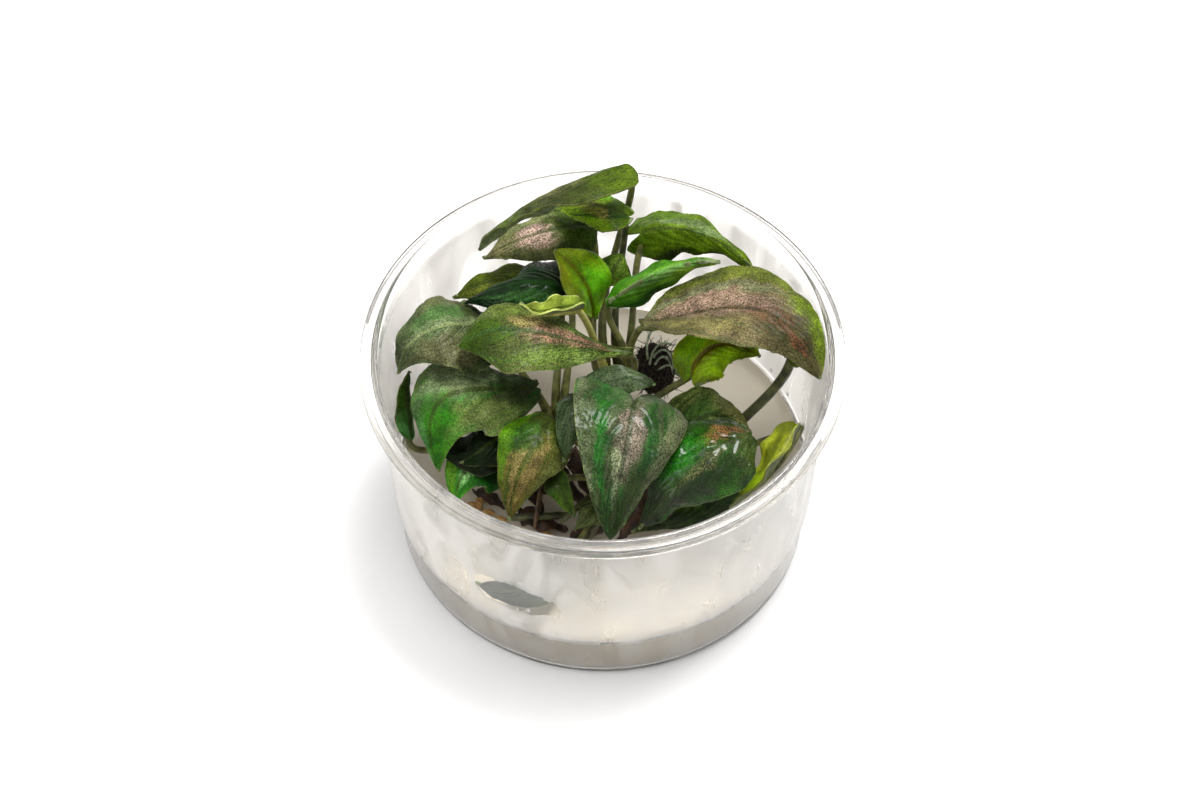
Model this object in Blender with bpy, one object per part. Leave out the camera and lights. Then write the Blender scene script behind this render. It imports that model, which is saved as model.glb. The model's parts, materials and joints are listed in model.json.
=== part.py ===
# A clear tissue-culture cup with young Lagenandra plants standing in a layer of gel.
# The origin is the centre of the cup's base, +Z is up, and lengths are in millimetres
# until add_object turns them into metres.
import math

import bmesh
import bpy
from mathutils import Vector

MM = 0.001
GAP = 0.3

RIM_RADIUS = 50.0
CUP_HEIGHT = 55.0
WALL = 0.9
BASE_THICKNESS = 1.0
BASE_RADIUS = 44.0
BASE_FLAT_RADIUS = 41.6
STEP_HEIGHT = 13.4
STEP_RADIUS = 44.6
STEP_WIDTH = 0.6
NECK_RADIUS = 46.9
FLANGE_THICKNESS = 1.3
SKIRT_DROP = 1.6
SKIRT_THICKNESS = 0.7
CUP_SIDES = 48

GEL_TOP = 13.6
MENISCUS = 1.0
MENISCUS_WIDTH = 2.0

LEAF_THICKNESS = 0.6
LEAF_ROWS = 6
STALK_RADIUS = 0.8
STALK_STEPS = 5
CROWN_SIDES = 8

SHADES = {
    "deep_green": "1f4a24",
    "mid_green": "3f7330",
    "bright_green": "6a9422",
    "olive": "62682f",
    "grey_green": "5a6c4e",
    "grey_pink": "6f6455",
    "pale_green": "a3ae6a",
}

CLUMP_MIDDLE = (11.2, 16.8, 26.6)
CLUMP_HALF_SIZE = (4.2, 3.8, 7.0)
CLUMP_KNOBS = 0.5


def clear_scene():
    for old in list(bpy.data.objects):
        bpy.data.objects.remove(old, do_unlink=True)


def linear(channel):
    value = channel / 255.0
    return value / 12.92 if value <= 0.04045 else ((value + 0.055) / 1.055) ** 2.4


def material(name, hex_colour, roughness, alpha=1.0):
    made = bpy.data.materials.new(name)
    made.use_nodes = True
    shader = made.node_tree.nodes["Principled BSDF"]
    rgb = [linear(int(hex_colour[i:i + 2], 16)) for i in (0, 2, 4)]
    shader.inputs["Base Color"].default_value = (*rgb, 1.0)
    shader.inputs["Roughness"].default_value = roughness
    shader.inputs["Metallic"].default_value = 0.0
    shader.inputs["Alpha"].default_value = alpha
    return made


def add_object(name, bm, finish):
    # A finished mesh in millimetres becomes an object in metres with smooth shading.
    bmesh.ops.scale(bm, vec=(MM, MM, MM), verts=bm.verts)
    mesh = bpy.data.meshes.new(name)
    bm.to_mesh(mesh)
    bm.free()
    mesh.shade_smooth()
    mesh.set_sharp_from_angle(angle=math.radians(50))
    mesh.materials.append(finish)
    made = bpy.data.objects.new(name, mesh)
    bpy.context.collection.objects.link(made)
    return made


def turned(profile, sides):
    # A closed profile of (radius, height) points, spun once round the Z axis.
    bm = bmesh.new()
    ring = [bm.verts.new((radius, 0.0, height)) for radius, height in profile]
    edges = [bm.edges.new((a, b)) for a, b in zip(ring, ring[1:])]
    bmesh.ops.spin(bm, geom=ring + edges, cent=(0, 0, 0), axis=(0, 0, 1), dvec=(0, 0, 0),
                   angle=2 * math.pi, steps=sides, use_merge=True)
    bmesh.ops.remove_doubles(bm, verts=bm.verts, dist=0.0005)
    bmesh.ops.recalc_face_normals(bm, faces=bm.faces)
    return bm


def bezier(points, t):
    a, b, c, d = points
    s = 1.0 - t
    return a * s ** 3 + b * (3 * s * s * t) + c * (3 * s * t * t) + d * t ** 3


def bezier_through(points):
    # The cubic that starts and ends at the outer points and passes the inner two
    # at a third and at two thirds of its way.
    p0, q1, q2, p3 = [Vector(p) for p in points]
    p1 = (q1 * 18 - q2 * 9 - p0 * 5 + p3 * 2) / 6
    p2 = (q2 * 18 - q1 * 9 - p3 * 5 + p0 * 2) / 6
    return p0, p1, p2, p3


def direction(points, t):
    step = 0.01
    return (bezier(points, min(t + step, 1.0)) - bezier(points, max(t - step, 0.0))).normalized()


def outline(t, widest, shoulder):
    # Share of the full half-width at t along the midrib: it starts at the shoulder's
    # share of the way, swells to the broadest place and runs out in a point.
    along = shoulder + (1.0 - shoulder) * t
    return max(max(math.sin(math.pi * along ** widest), 0.0) ** 0.8, 0.03)


class Leaf:
    """One leaf: where its blade runs, how it faces and how it is folded.

    midrib   four points from the stalk's end to the tip
    width    full width across the broadest place
    face     direction that the upper side looks to, at the stalk and at the tip
    fold     degrees that the left and the right half fall from the midrib
    curl     further degrees that the margins of the two halves turn down
    shoulder share of the outline that is left out, so that the base is broad
    lobe     how far the basal lobes reach back past the stalk's end
    wave     height of the ripple along the margin
    widest   under 1 puts the broadest place nearer the stalk
    bend     how far the stalk bows out of its straight way
    """

    def __init__(self, name, crown, heading, sprout, midrib, width, face, face_tip=None,
                 fold=(15, 15), fold_tip=None, curl=(15, 15), shoulder=0.005, lobe=1, wave=0.6,
                 widest=0.6, bend=(0, 0, 0), shade="mid_green"):
        self.name = name
        self.crown = crown
        self.heading = heading
        self.sprout = sprout
        self.midrib = bezier_through(midrib)
        self.half_width = width / 2
        self.face = Vector(face).normalized()
        self.face_tip = Vector(face_tip or face).normalized()
        self.fold = fold
        self.fold_tip = fold_tip or fold
        self.curl = curl
        self.shoulder = shoulder
        self.lobe = lobe
        self.wave = wave
        self.widest = widest
        self.bend = Vector(bend)
        self.shade = shade

    def reach(self, t):
        return self.half_width * outline(t, self.widest, self.shoulder)

    def point(self, t, v):
        # t runs from stalk to tip, v from the left margin at -1 to the right at +1.
        along = direction(self.midrib, t)
        face = self.face.lerp(self.face_tip, t)
        side = along.cross(face).normalized()
        up = side.cross(along)
        half = 0 if v < 0 else 1
        reach = abs(v) * self.reach(t)
        fold = self.fold[half] * (1.0 - t) + self.fold_tip[half] * t
        fall = math.radians(fold + self.curl[half] * abs(v) / 2)
        sideways = math.copysign(reach * math.cos(fall), v)
        ripple = self.wave * v * v * math.sin(2 * math.pi * (2.5 * t + 0.25 * half))
        back = self.lobe * math.sin(0.8 * math.pi * abs(v)) * (1.0 - t) ** 5
        return (bezier(self.midrib, t) + side * sideways
                + up * (ripple - reach * math.sin(fall)) - along * back)

    def normal(self, t, v):
        step = 0.02
        t = min(max(t, step), 1.0 - 2 * step)
        v = min(max(v, step - 1.0), 1.0 - step)
        along = self.point(t + step, v) - self.point(t - step, v)
        across = self.point(t, v + step) - self.point(t, v - step)
        return across.cross(along).normalized()

    def stalk(self):
        # From the crown's flank, up and outward, round to the blade's own heading.
        crown = CROWNS[self.crown]
        heading = math.radians(self.heading)
        outward = Vector((math.cos(heading), math.sin(heading), 0.0))
        clear = crown.radius_at(self.sprout) + 1.25 * STALK_RADIUS + GAP
        root = crown.foot + outward * clear
        root.z = self.sprout
        end = self.midrib[0] - self.normal(0.0, 0.0) * (LEAF_THICKNESS / 2)
        blade = direction(self.midrib, 0.0)
        climb = Vector((0, 0, 1))
        length = (end - root).length
        rise = root + (climb + outward * 0.25) * (length * 0.35) + self.bend
        turn = end - (climb + blade * 0.7).normalized() * (length * 0.35) + self.bend
        return root, rise, turn, end


class Crown:
    """A short upright stem whose foot stands in the gel."""

    def __init__(self, name, x, y, top, girth):
        self.name = name
        self.foot = Vector((x, y, 0.0))
        self.top = top
        self.girth = girth

    def profile(self):
        low = GEL_TOP - 6.0
        span = self.top - low
        shares = ((0.0, 0.55), (0.12, 0.9), (0.4, 1.0), (0.7, 0.85), (0.92, 0.6))
        rings = [(self.girth * share, low + span * rise) for rise, share in shares]
        return [(0.0, low)] + rings + [(0.0, self.top)]

    def radius_at(self, height):
        rings = self.profile()
        for (r0, z0), (r1, z1) in zip(rings, rings[1:]):
            if z0 <= height <= z1 and z1 > z0:
                return max(r0 + (r1 - r0) * (height - z0) / (z1 - z0), 0.5 * self.girth)
        return 0.5 * self.girth


CROWNS = {crown.name: crown for crown in (
    Crown("crown_back", 2.5, 15.0, 30.0, 2.4),
    Crown("crown_left", -9.0, 6.0, 25.0, 2.2),
    Crown("crown_front", 4.0, -7.0, 27.0, 2.2),
    Crown("crown_right", 21.0, -3.0, 25.0, 2.2),
)}

LEAVES = (
    Leaf("leaf_heart", "crown_front", 270, 21, width=25.5,
         midrib=((6.5, -5.5, 46), (5.5, -14, 47.5), (3.5, -23, 42), (1.4, -31, 31.5)),
         face=(0.05, -0.45, 1), face_tip=(0, -1, 0.5), fold=(8, -8), curl=(30, 20),
         shoulder=0.2, lobe=8, shade="mid_green"),
    Leaf("leaf_right_long", "crown_back", 325, 27, width=28,
         midrib=((8.1, 12.2, 49), (20, 10.8, 54), (34, 7.6, 58), (44.5, -3.9, 50.5)),
         face=(0, 0, 1), fold=(0, -55), fold_tip=(5, 15), curl=(20, -5),
         lobe=0, widest=0.82, shade="grey_pink"),
    Leaf("leaf_right_under", "crown_right", 25, 20, width=13,
         midrib=((38.3, 4.5, 47), (37.9, 8.5, 51), (34, 14.5, 52), (27.5, 21, 51)),
         face=(-0.4, 0, 1), fold=(15, 5), curl=(20, 20), shoulder=0.05, shade="bright_green"),
    Leaf("leaf_right_small", "crown_front", 70, 23, width=13,
         midrib=((18.5, 4.5, 41), (21.5, 8, 44.5), (26.5, 9, 45.5), (33, 8, 42.5)),
         face=(-0.3, -0.4, 1), fold=(5, 5), curl=(10, 10), shoulder=0.03, lobe=2,
         bend=(-4, 4, 0), shade="bright_green"),
    Leaf("leaf_back_smooth", "crown_back", 20, 29, width=13,
         midrib=((1, 17.7, 48.7), (7.5, 19.3, 53.5), (15.5, 21.2, 56.5), (24.5, 23, 55.5)),
         face=(0, 0, 1), fold=(25, 75), curl=(15, 20), shoulder=0.03, shade="mid_green"),
    Leaf("leaf_back_right", "crown_back", 50, 25, width=18,
         midrib=((8.4, 30.4, 56.5), (14.7, 29, 59.5), (23, 26.5, 59), (32, 24.5, 51)),
         face=(0, 0, 1), fold=(15, 75), curl=(15, 20), shoulder=0.2, lobe=6, bend=(1, -1, 0),
         shade="mid_green"),
    Leaf("leaf_back_tall", "crown_back", 116, 24, width=18,
         midrib=((4.5, 35, 73.5), (-7, 31, 72), (-17.5, 28.5, 66), (-26, 27, 55)),
         face=(0, 0.5, 0.8), face_tip=(0, 0.75, 0.65), fold=(15, 45), fold_tip=(15, 5),
         curl=(15, 15), shoulder=0.25, lobe=1, bend=(-3.5, 7.5, -3), shade="olive"),
    Leaf("leaf_back_pink", "crown_back", 155, 24, width=16,
         midrib=((-2.3, 35.5, 53), (-9, 33, 55), (-16.5, 31, 54), (-25.5, 29.5, 49)),
         face=(0, -0.1, 1), fold=(10, 10), curl=(15, 15), shoulder=0.03, bend=(-1.5, 0, 0),
         shade="grey_pink"),
    Leaf("leaf_back_dark", "crown_back", 68, 23, width=11,
         midrib=((5.4, 33, 59), (0.2, 33.2, 61.5), (-5, 34.5, 61), (-10.5, 36.5, 57)),
         face=(0, 0, 1), fold=(10, 10), curl=(10, 10), bend=(-4.5, 1.5, 0), shade="deep_green"),
    Leaf("leaf_young", "crown_back", 185, 30, width=12,
         midrib=((-2, 21, 39), (-3, 22.5, 46), (-5.5, 23.5, 52), (-10, 24, 58)),
         face=(0.7, -1, 0.6), fold=(-30, -20), curl=(10, 10), shoulder=0, lobe=0, widest=1.1,
         shade="bright_green"),
    Leaf("leaf_rolled", "crown_left", 80, 23, width=21,
         midrib=((-6.5, 21, 47), (-12, 21.5, 51), (-20.5, 20.5, 51), (-30, 20.5, 45)),
         face=(0, 0.1, 1), face_tip=(0, 0.9, 1), fold=(45, 5), curl=(50, 10),
         shoulder=0.1, lobe=-2, shade="deep_green"),
    Leaf("leaf_left_behind", "crown_left", 110, 21, width=12,
         midrib=((-10, 30.5, 42), (-17, 28, 44.5), (-25, 26.5, 44.5), (-32, 25, 41)),
         face=(0, 0, 1), shade="olive"),
    Leaf("leaf_left_veined", "crown_left", 140, 20, width=22,
         midrib=((-23.5, 15, 44), (-30.5, 12, 49), (-38.5, 8.5, 49), (-43, 5.5, 40)),
         face=(0, 0, 1), fold=(15, 10), curl=(15, 15), shoulder=0.04, lobe=2,
         shade="grey_green"),
    Leaf("leaf_centre_left", "crown_back", 265, 23, width=19,
         midrib=((6.5, 6.5, 46), (-8, 4.5, 53.5), (-19.5, 5, 56), (-30, 4, 51.5)),
         face=(0, 0, 1), fold=(15, 10), curl=(15, 15), lobe=0, widest=1.4,
         shade="grey_green"),
    Leaf("leaf_curled", "crown_back", 222, 30, width=6,
         midrib=((-4.5, 12.5, 54), (-9, 9.5, 56.5), (-13, 8.5, 57), (-17, 11, 57)),
         face=(0, 0, 1), fold=(-40, -40), curl=(-30, -30), lobe=0, wave=1.2,
         shade="pale_green"),
    Leaf("leaf_left_front", "crown_left", 215, 23, width=22,
         midrib=((-14, 4.5, 37), (-24, 0.5, 41.5), (-34, -3, 41.5), (-34.5, -12.5, 29.5)),
         face=(0, 0, 1), face_tip=(-0.7, -0.7, 0.6), fold=(20, 10), curl=(20, 20),
         shoulder=0.06, wave=0.3, widest=1.1, shade="mid_green"),
    Leaf("leaf_left_low", "crown_left", 240, 19, width=14,
         midrib=((-20, -4, 24), (-26, -8, 27), (-29.5, -11, 26.5), (-31, -15.5, 22.5)),
         face=(0, -0.4, 1), shoulder=0.02, curl=(5, 5), wave=0.2, shade="deep_green"),
    Leaf("leaf_left_shadow", "crown_left", 265, 20, width=13,
         midrib=((-16, 0, 30), (-20, -4, 32), (-25, -8, 32), (-30, -9, 28)),
         face=(0, -0.4, 1), lobe=0, shade="deep_green"),
    Leaf("leaf_striped", "crown_front", 185, 22, width=17,
         midrib=((-10.5, -4.5, 38), (-14, -12, 39.5), (-17.5, -18, 36), (-19.5, -23, 27)),
         face=(0, -0.5, 1), face_tip=(-0.3, -1, 0.4), fold=(15, 15), curl=(20, 20),
         shoulder=0.04, shade="olive"),
    Leaf("leaf_round", "crown_front", 20, 22, width=18,
         midrib=((17.5, -7, 32.5), (20.5, -3, 35.5), (25, -2, 35.5), (31, -3, 30.5)),
         face=(0, -0.3, 1), shoulder=0.05, lobe=2, shade="olive"),
    Leaf("leaf_glossy", "crown_right", 310, 22, width=21,
         midrib=((31, -9.5, 39), (23, -15, 41), (15, -21, 36.5), (7.5, -25, 27)),
         face=(0.1, -0.2, 1), face_tip=(0, -1, 0.8), fold=(15, 25), curl=(25, 25),
         shoulder=0.04, shade="deep_green"),
    Leaf("leaf_right_wall", "crown_right", 345, 19, width=10,
         midrib=((40.5, -5.5, 37), (37.5, -11, 35), (33.5, -15, 31), (26.5, -18, 25)),
         face=(-0.6, 0.5, 1), fold=(-30, -30), curl=(-10, -10), lobe=0, shade="bright_green"),
    Leaf("leaf_front_low", "crown_right", 250, 18, width=13,
         midrib=((28, -8, 21.5), (22, -14, 24), (15, -18, 24), (6, -21, 20)),
         face=(0, -0.3, 1), shade="deep_green"),
    Leaf("leaf_narrow", "crown_front", 205, 19, width=6,
         midrib=((-10.5, -13, 30), (-9.5, -16, 30.5), (-8, -18.5, 28.5), (-6, -20, 24)),
         face=(-0.6, -0.5, 1), fold=(-20, -20), lobe=0, wave=0.2, shade="deep_green"),
    Leaf("leaf_wall_low", "crown_front", 240, 17.5, width=11,
         midrib=((-9, -29, 20), (-13, -34, 22.5), (-18, -36.5, 22.5), (-26, -33, 20)),
         face=(0, -0.5, 1), lobe=0, shade="grey_green"),
    Leaf("leaf_left_wall", "crown_left", 190, 18, width=7,
         midrib=((-40.5, 0, 24), (-41, 3, 29), (-41.2, 5.5, 34), (-40.5, 7.5, 38)),
         face=(1, -0.5, 0.3), lobe=0, wave=0.2, shade="olive"),
    Leaf("leaf_small_blade", "crown_back", 130, 29, width=9,
         midrib=((0.8, 25.3, 45.5), (2, 26.8, 47.3), (3.2, 28.3, 48.8), (4.6, 29.6, 49.8)),
         face=(-0.3, -0.8, 1), lobe=0, wave=0.2, shade="olive"),
    Leaf("leaf_triangle", "crown_front", 300, 18, width=7,
         midrib=((-0.5, -15.5, 23), (-2, -18.5, 24.5), (-3.5, -20.5, 24.5), (-6, -21.5, 21.5)),
         face=(0, -0.5, 1), lobe=0, wave=0.2, shade="olive"),
)


def blade_rings(leaf):
    # Each ring goes once round the blade at one place along the midrib: over the
    # upper side from left to right, then back under it past the rib's keel.
    rings = []
    for row in range(LEAF_ROWS + 1):
        t = (row / LEAF_ROWS) ** 1.2
        rib = min(STALK_RADIUS * (1.0 - 0.7 * t) / leaf.reach(t), 0.3)
        across = (-1.0, -0.55, -rib, rib, 0.55, 1.0)
        half = LEAF_THICKNESS / 2
        keel = half + STALK_RADIUS * 1.3 * (1.0 - t)
        ring = [leaf.point(t, v) + leaf.normal(t, v) * half for v in across]
        under = [leaf.point(t, v) - leaf.normal(t, v) * half for v in reversed(across)]
        under.insert(3, leaf.point(t, 0.0) - leaf.normal(t, 0.0) * keel)
        rings.append(ring + under)
    return rings


def stalk_rings(leaf, last):
    # Five-sided rings from the crown up to the blade. The frame is carried back from
    # the blade's own ring, so that the tube doesn't twist.
    path = leaf.stalk()
    middle = sum(last, Vector()) / len(last)
    along = direction(leaf.midrib, 0.0)
    rings = []
    shape = [corner - middle for corner in last]
    for step in reversed(range(STALK_STEPS)):
        t = step / STALK_STEPS
        heading = direction(path, t)
        turn = along.rotation_difference(heading)
        shape = [turn @ corner for corner in shape]
        along = heading
        grow = 1.0 + 0.25 * (1.0 - t)
        rings.append([bezier(path, t) + corner * grow for corner in shape])
    return list(reversed(rings))


def make_leaf(leaf):
    # Stalk and blade are one closed skin: the stalk's tube opens into the middle
    # of the blade's base and goes on beneath it as the rib.
    bm = bmesh.new()
    blade = [[bm.verts.new(place) for place in ring] for ring in blade_rings(leaf)]
    neck = [2, 3, 8, 9, 10]
    stalk = stalk_rings(leaf, [blade[0][corner].co for corner in neck])
    tube = [[bm.verts.new(place) for place in ring] for ring in stalk]
    tube.append([blade[0][corner] for corner in neck])
    for rings in (tube, blade):
        for near, far in zip(rings, rings[1:]):
            for a, b, c, d in zip(near, near[1:] + near[:1], far[1:] + far[:1], far):
                bm.faces.new((a, b, c, d))
    base, tip = blade[0], blade[-1]
    bm.faces.new(tube[0])
    bm.faces.new((base[0], base[1], base[11], base[12]))
    bm.faces.new((base[1], base[2], base[10], base[11]))
    bm.faces.new((base[3], base[4], base[7], base[8]))
    bm.faces.new((base[4], base[5], base[6], base[7]))
    bm.faces.new((tip[0], tip[1], tip[11], tip[12]))
    bm.faces.new((tip[1], tip[2], tip[10], tip[11]))
    bm.faces.new((tip[2], tip[3], tip[8], tip[9], tip[10]))
    bm.faces.new((tip[3], tip[4], tip[7], tip[8]))
    bm.faces.new((tip[4], tip[5], tip[6], tip[7]))
    bmesh.ops.triangulate(bm, faces=bm.faces)
    bmesh.ops.recalc_face_normals(bm, faces=bm.faces)
    add_object(leaf.name, bm, material(leaf.name + "_skin", SHADES[leaf.shade], 0.45))


def cut(body, tool):
    # Takes one closed mesh out of another exactly and gives back what is left.
    objects = []
    for bm in (body, tool):
        mesh = bpy.data.meshes.new("working")
        bm.to_mesh(mesh)
        bm.free()
        made = bpy.data.objects.new("working", mesh)
        bpy.context.collection.objects.link(made)
        objects.append(made)
    change = objects[0].modifiers.new("cut", "BOOLEAN")
    change.operation = "DIFFERENCE"
    change.solver = "EXACT"
    change.object = objects[1]
    bpy.context.view_layer.update()
    left = bmesh.new()
    left.from_object(objects[0], bpy.context.evaluated_depsgraph_get())
    for made in objects:
        bpy.data.objects.remove(made, do_unlink=True)
    return left


def make_crown(crown):
    stem = turned(crown.profile(), CROWN_SIDES)
    bmesh.ops.translate(stem, vec=crown.foot, verts=stem.verts)
    add_object(crown.name, stem, material(crown.name + "_stem", "4a4a2a", 0.7))


def make_root_clump():
    # A dark lump of matted roots that stands on the gel beside the tallest crown.
    bm = bmesh.new()
    bmesh.ops.create_icosphere(bm, subdivisions=2, radius=1.0)
    for vert in bm.verts:
        x, y, z = vert.co
        knob = 1.0 + 0.1 * CLUMP_KNOBS * (math.sin(9 * x) + math.sin(8 * y) + math.sin(7 * z))
        vert.co = Vector(CLUMP_MIDDLE) + Vector(
            half * knob * along for half, along in zip(CLUMP_HALF_SIZE, (x, y, z)))
    add_object("root_clump", bm, material("matted_roots", "231d18", 0.95))


def make_cup():
    wall_foot = BASE_RADIUS - WALL
    inner_step = STEP_RADIUS - WALL
    flange_under = CUP_HEIGHT - FLANGE_THICKNESS
    profile = (
        (0.0, 0.0),
        (BASE_FLAT_RADIUS, 0.0),
        (BASE_RADIUS - 0.6, 0.8),
        (BASE_RADIUS, 2.6),
        (STEP_RADIUS, STEP_HEIGHT),
        (STEP_RADIUS + STEP_WIDTH, STEP_HEIGHT + 0.8),
        (NECK_RADIUS, flange_under - 1.0),
        (NECK_RADIUS + 0.5, flange_under),
        (RIM_RADIUS - SKIRT_THICKNESS - 0.3, flange_under),
        (RIM_RADIUS - SKIRT_THICKNESS, CUP_HEIGHT - SKIRT_DROP),
        (RIM_RADIUS, CUP_HEIGHT - SKIRT_DROP),
        (RIM_RADIUS, CUP_HEIGHT - 0.9),
        (RIM_RADIUS - 0.9, CUP_HEIGHT - 0.1),
        (RIM_RADIUS - 1.8, CUP_HEIGHT),
        (RIM_RADIUS - 2.5, CUP_HEIGHT - 0.4),
        (NECK_RADIUS, CUP_HEIGHT - 0.2),
        (NECK_RADIUS - WALL, CUP_HEIGHT - 1.0),
        (STEP_RADIUS + STEP_WIDTH - WALL, STEP_HEIGHT + 1.0),
        (inner_step, STEP_HEIGHT + 0.1),
        (wall_foot, 3.0),
        (wall_foot - 0.8, BASE_THICKNESS + 0.3),
        (0.0, BASE_THICKNESS),
        (0.0, 0.0),
    )
    add_object("cup", turned(profile, CUP_SIDES), material("polystyrene", "eef1f1", 0.08, 0.35))


def make_gel():
    # Agar poured into the cup: it creeps up the wall in a narrow meniscus.
    side_foot = BASE_RADIUS - WALL - GAP
    side_top = STEP_RADIUS - WALL - GAP
    profile = (
        (0.0, BASE_THICKNESS + GAP),
        (side_foot - 1.0, BASE_THICKNESS + 2 * GAP),
        (side_foot, 3.3),
        (side_top, STEP_HEIGHT),
        (side_top, GEL_TOP + MENISCUS),
        (side_top - 0.4 * MENISCUS_WIDTH, GEL_TOP + 0.3 * MENISCUS),
        (side_top - MENISCUS_WIDTH, GEL_TOP),
        (0.0, GEL_TOP),
        (0.0, BASE_THICKNESS + GAP),
    )
    gel = turned(profile, CUP_SIDES)
    for crown in CROWNS.values():
        pocket = [(radius + GAP, height) for radius, height in crown.profile()[1:4]]
        pocket = [(0.0, pocket[0][1] - GAP)] + pocket + [(crown.girth + GAP, GEL_TOP + 4.0)]
        pocket += [(0.0, GEL_TOP + 4.0)]
        tool = turned(pocket, CROWN_SIDES)
        bmesh.ops.translate(tool, vec=crown.foot, verts=tool.verts)
        gel = cut(gel, tool)
    add_object("gel", gel, material("agar_gel", "cfc8b6", 0.25))


clear_scene()
make_cup()
make_gel()
for crown in CROWNS.values():
    make_crown(crown)
make_root_clump()
for leaf in LEAVES:
    make_leaf(leaf)
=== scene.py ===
import json
import math
import random

import bpy
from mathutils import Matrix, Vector, noise

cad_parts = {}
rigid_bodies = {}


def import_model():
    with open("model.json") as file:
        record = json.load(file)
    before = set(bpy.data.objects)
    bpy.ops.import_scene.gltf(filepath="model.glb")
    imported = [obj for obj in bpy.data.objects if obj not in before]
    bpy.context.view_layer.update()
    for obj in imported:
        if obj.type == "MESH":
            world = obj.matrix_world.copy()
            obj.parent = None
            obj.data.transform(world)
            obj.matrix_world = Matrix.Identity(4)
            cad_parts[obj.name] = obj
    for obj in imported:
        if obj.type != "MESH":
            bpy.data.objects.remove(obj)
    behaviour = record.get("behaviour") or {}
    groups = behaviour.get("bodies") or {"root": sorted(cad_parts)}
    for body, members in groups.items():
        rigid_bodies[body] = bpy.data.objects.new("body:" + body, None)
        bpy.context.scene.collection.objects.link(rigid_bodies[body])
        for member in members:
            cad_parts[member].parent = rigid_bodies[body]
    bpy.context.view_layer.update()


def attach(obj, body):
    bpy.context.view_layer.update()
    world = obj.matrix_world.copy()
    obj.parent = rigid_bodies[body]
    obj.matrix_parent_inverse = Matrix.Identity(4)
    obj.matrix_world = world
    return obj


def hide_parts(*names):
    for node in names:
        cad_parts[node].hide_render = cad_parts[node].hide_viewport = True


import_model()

# The culture cup: clear polystyrene, injection moulded in one shot. A tapered wall stands
# on a narrow step over the base, and the rim is rolled outward into a flange with a short
# skirt that a lid snaps over. It has no seam, only its thickness bends the light.
MM = 0.001
RIM_RADIUS = 50.0
CUP_HEIGHT = 55.0
WALL = 0.9
BASE_THICKNESS = 1.0
BASE_RADIUS = 44.0
BASE_FLAT_RADIUS = 41.6
STEP_HEIGHT = 13.4
STEP_RADIUS = 44.6
STEP_WIDTH = 0.6
NECK_RADIUS = 46.9
FLANGE_THICKNESS = 1.3
SKIRT_DROP = 1.6
SKIRT_THICKNESS = 0.7
CUP_SIDES = 160
LONG_RUN = 1.2
CORNER_RING = 0.25


def linear(hex_colour):
    # An sRGB hex colour as the linear RGBA that a shader takes.
    channels = [int(hex_colour[i:i + 2], 16) / 255 for i in (0, 2, 4)]
    curve = [c / 12.92 if c <= 0.04045 else ((c + 0.055) / 1.055) ** 2.4 for c in channels]
    return (*curve, 1.0)


def node(tree, kind, settings=None, links=None):
    # One shader node: settings go to its properties or input sockets, links to its inputs.
    made = tree.nodes.new(kind)
    for key, value in (settings or {}).items():
        if isinstance(key, int) or key in made.inputs:
            made.inputs[key].default_value = value
        else:
            setattr(made, key, value)
    for key, source in (links or {}).items():
        tree.links.new(source, made.inputs[key])
    return made


def new_material(name, settings):
    # A material, its node tree and its shader, with constant values on the shader's sockets.
    made = bpy.data.materials.new(name)
    made.use_nodes = True
    shader = made.node_tree.nodes["Principled BSDF"]
    for socket, value in settings.items():
        shader.inputs[socket].default_value = value
    return made, made.node_tree, shader


def paint(tree, colour, mask, tone):
    # Lays one tone over a colour where the mask is high.
    mixed = node(tree, "ShaderNodeMix", {"data_type": "RGBA"}, {0: mask, 6: colour})
    mixed.inputs[7].default_value = linear(tone)
    return mixed.outputs[2]


def span(tree, value, start, stop, low, high):
    # A value that runs softly from low to high while its source runs from start to stop.
    made = node(tree, "ShaderNodeMapRange", {"interpolation_type": "SMOOTHSTEP"},
                {"Value": value})
    for socket, number in zip(("From Min", "From Max", "To Min", "To Max"),
                              (start, stop, low, high)):
        made.inputs[socket].default_value = number
    return made.outputs["Result"]


def maths(tree, operation, first, second, third=0.0):
    made = node(tree, "ShaderNodeMath", {"operation": operation})
    for socket, value in enumerate((first, second, third)):
        if isinstance(value, (int, float)):
            made.inputs[socket].default_value = value
        else:
            tree.links.new(value, made.inputs[socket])
    return made.outputs[0]


def deselect():
    bpy.ops.object.select_all(action="DESELECT")


def smooth(degrees):
    # Smooth shading on the active piece, with an edge kept sharp past the given angle.
    bpy.ops.object.shade_smooth_by_angle(angle=math.radians(degrees))


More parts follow.
